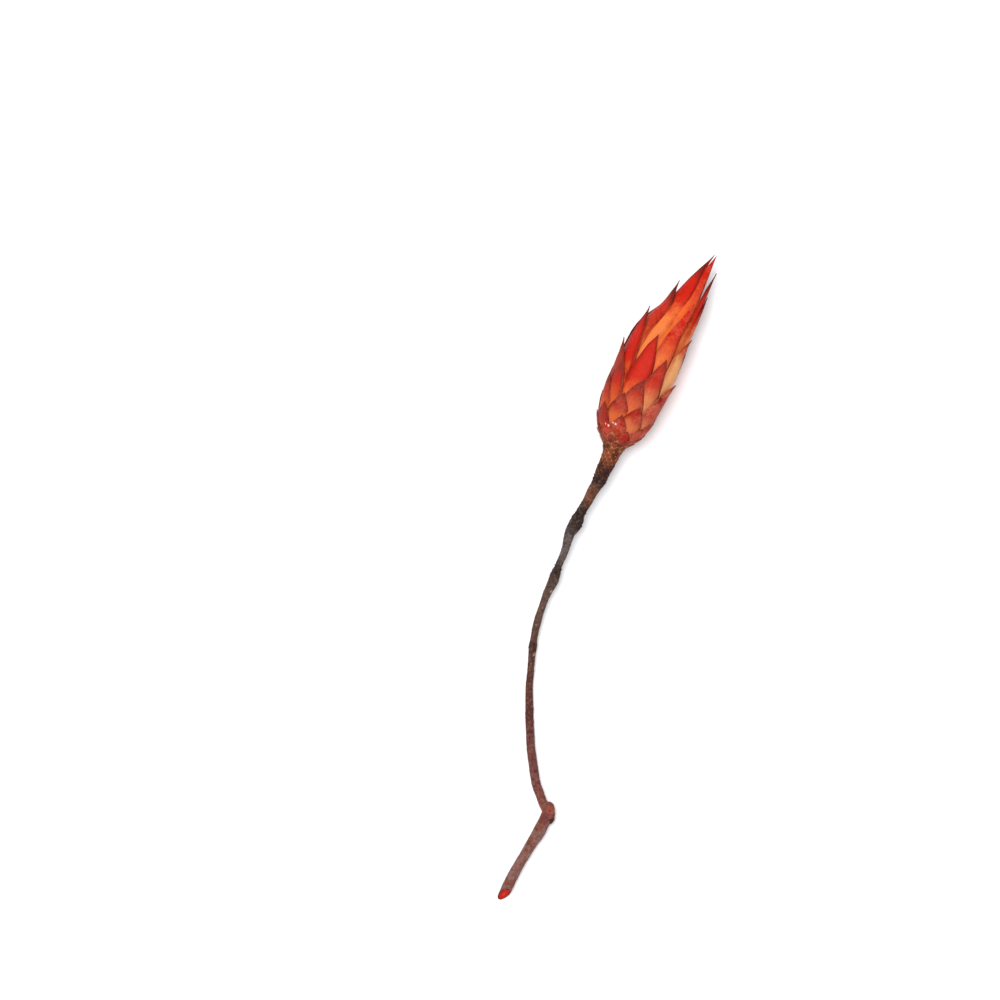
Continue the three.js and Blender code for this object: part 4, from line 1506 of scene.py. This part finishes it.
    def stump_blank(self) -> bpy.types.Object:
        """Make the short bent spike that every stump is a copy of."""
        points = [
            (math.cos(a) * (1 - t) ** 0.7 + 0.35 * t * t, math.sin(a) * (1 - t) ** 0.7, t)
            for t in np.linspace(0, 0.92, self.stub_rings) for a in ring_turns(self.stub_sides)
        ]
        faces = ring_faces(self.stub_rings, self.stub_sides, len(points), len(points) + 1)
        points += [(0, 0, 0), (0.4, 0, 1.0)]
        return stand("stump_blank", mesh_of("stump_blank", np.array(points), faces))

    def cut_end(self) -> bpy.types.Object:
        """Make the slanted cut face of the old wood.

        Returns:
            The piece, a thin slightly crowned disc in the plane of the cut.
        """
        middle, outward, sideways, up, facing = self.cut_frame()
        lean, right, rise = CUT_LEAN
        radius = along(OLD_WOOD_OUTLINE, OLD_WOOD.length - CUT_BACK) * 0.97
        sides, rings = self.cut_sides, self.cut_rings
        points, outs, turns = [middle + facing * 0.1], [0.0], [0.0]
        for i in range(1, rings + 2):
            share = min(i / rings, 1.0)
            for k in range(sides):
                a = 2 * math.pi * k / sides
                reach = radius * share * (1 + 0.03 * math.sin(3 * a + 1))
                cosine, sine = math.cos(a) * reach, math.sin(a) * reach
                back = outward * (right * cosine + rise * sine) / lean
                spot = middle + sideways * cosine + up * sine - back
                rough = 0.1 * (1 - share**4) + 0.06 * math.sin(5 * a + 9 * share) * share
                spot += facing * (rough if i <= rings else -self.cut_depth)
                spot.z = max(spot.z, 0.0)
                points.append(spot)
                outs.append(share)
                turns.append(a)
        points.append(middle - facing * self.cut_depth)
        outs.append(0.0)
        turns.append(0.0)
        faces = []
        for k in range(sides):
            after = (k + 1) % sides
            faces.append((0, 1 + k, 1 + after))
            for i in range(rings):
                a, b = 1 + i * sides + k, 1 + i * sides + after
                faces.append((a, a + sides, b + sides, b))
            last = 1 + rings * sides
            faces.append((len(points) - 1, last + after, last + k))
        mesh = mesh_of("cut_end", np.array([tuple(point) for point in points]) * MM, faces)
        carry(mesh, out=np.array(outs), around=np.array(turns))
        mesh.materials.append(CUT_FINISH.material())
        return stand("cut_end", mesh)


# ---------------------------------------------------------------- studio


@dataclass
class Studio:
    """Pale floor, a large soft lamp nearly overhead, a little to the upper left, and a camera above."""

    centre: tuple[float, float] = (-0.0659, -0.0590)
    view_width: float = 0.450
    object_height: float = 0.014
    camera_height: float = 2.4
    sensor: float = 36.0
    floor_size: float = 4.0
    floor_drop: float = 0.0002
    key_offset: Place = (-0.42, 0.3, 3.0)
    key_power: float = 93.0
    key_size: float = 1.6
    sky: float = 0.53

    def build(self) -> None:
        """Build floor, lights and camera."""
        scene = bpy.context.scene
        half = self.floor_size / 2
        x, y = self.centre
        corners = [
            (x + across * half, y + along_it * half, -self.floor_drop)
            for across, along_it in ((-1, -1), (1, -1), (1, 1), (-1, 1))
        ]
        floor = stand("floor", mesh_of("floor", np.array(corners), [(0, 1, 2, 3)]))
        floor.data.materials.append(FLOOR_FINISH.material())

        world = bpy.data.worlds.new("studio")
        world.use_nodes = True
        background = world.node_tree.nodes["Background"]
        background.inputs["Color"].default_value = tone(250, 251, 255)
        background.inputs["Strength"].default_value = self.sky
        scene.world = world

        lamp = bpy.data.lights.new("key", "AREA")
        lamp.shape, lamp.size, lamp.energy = "SQUARE", self.key_size, self.key_power
        key = bpy.data.objects.new("key", lamp)
        key.location = Vector((x, y, 0)) + Vector(self.key_offset)
        key.rotation_euler = (Vector((x, y, 0)) - key.location).to_track_quat("-Z", "Y").to_euler()
        scene.collection.objects.link(key)

        lens = bpy.data.cameras.new("camera")
        lens.sensor_width = self.sensor
        lens.lens = self.sensor * (self.camera_height - self.object_height) / self.view_width
        lens.clip_end = 20.0
        camera = bpy.data.objects.new("camera", lens)
        camera.location = (x, y, self.camera_height)
        scene.collection.objects.link(camera)
        scene.camera = camera
        scene.view_settings.view_transform = "Standard"
        scene.view_settings.look = "None"


def main() -> None:
    """Build every piece in order and say what it is."""
    logging.basicConfig(level=logging.INFO, format="%(name)s: %(message)s", stream=sys.stdout)
    Studio().build()
    whorl = Whorl("bracts", HEAD_OUTLINE, bract_shape)
    pieces = [
        BractPiece(
            "inner_bracts", Slot.INNER_BRACT, INNER_FINISH, range(LAST_INNER + 1), rows=52, columns=16,
            thickness=0.55, wave=0.5, body_depth=DEEPEST_ROOM + 1.2, body_span=(CUP_FLOOR + GAP, BASE_TOP),
        ),
        BractPiece(
            "outer_bracts", Slot.OUTER_BRACT, OUTER_FINISH, range(LAST_INNER + 1, LAST_OUTER + 1), rows=30,
            columns=12, thickness=0.55, wave=0.5, body_depth=2.2, body_span=(NECK_TOP - 2, CUP_TOP),
        ),
        BractPiece(
            "neck_scales", Slot.NECK_SCALE, NECK_FINISH, range(LAST_OUTER + 1, LAST_SCALE + 1), rows=8,
            columns=6, thickness=0.32, wave=0.25, body_depth=0.7, body_span=(NECK_FOOT, NECK_TOP),
        ),
    ]
    for piece in pieces:
        register(piece.build(whorl), piece.slot, piece.name)
    register(Florets().build(), Slot.FLORET, "florets")
    twig = Twig()
    register(twig.build(), Slot.BARK, "stem")
    register(twig.cut_end(), Slot.CUT_WOOD, "stem")


if __name__ == "__main__":
    main()
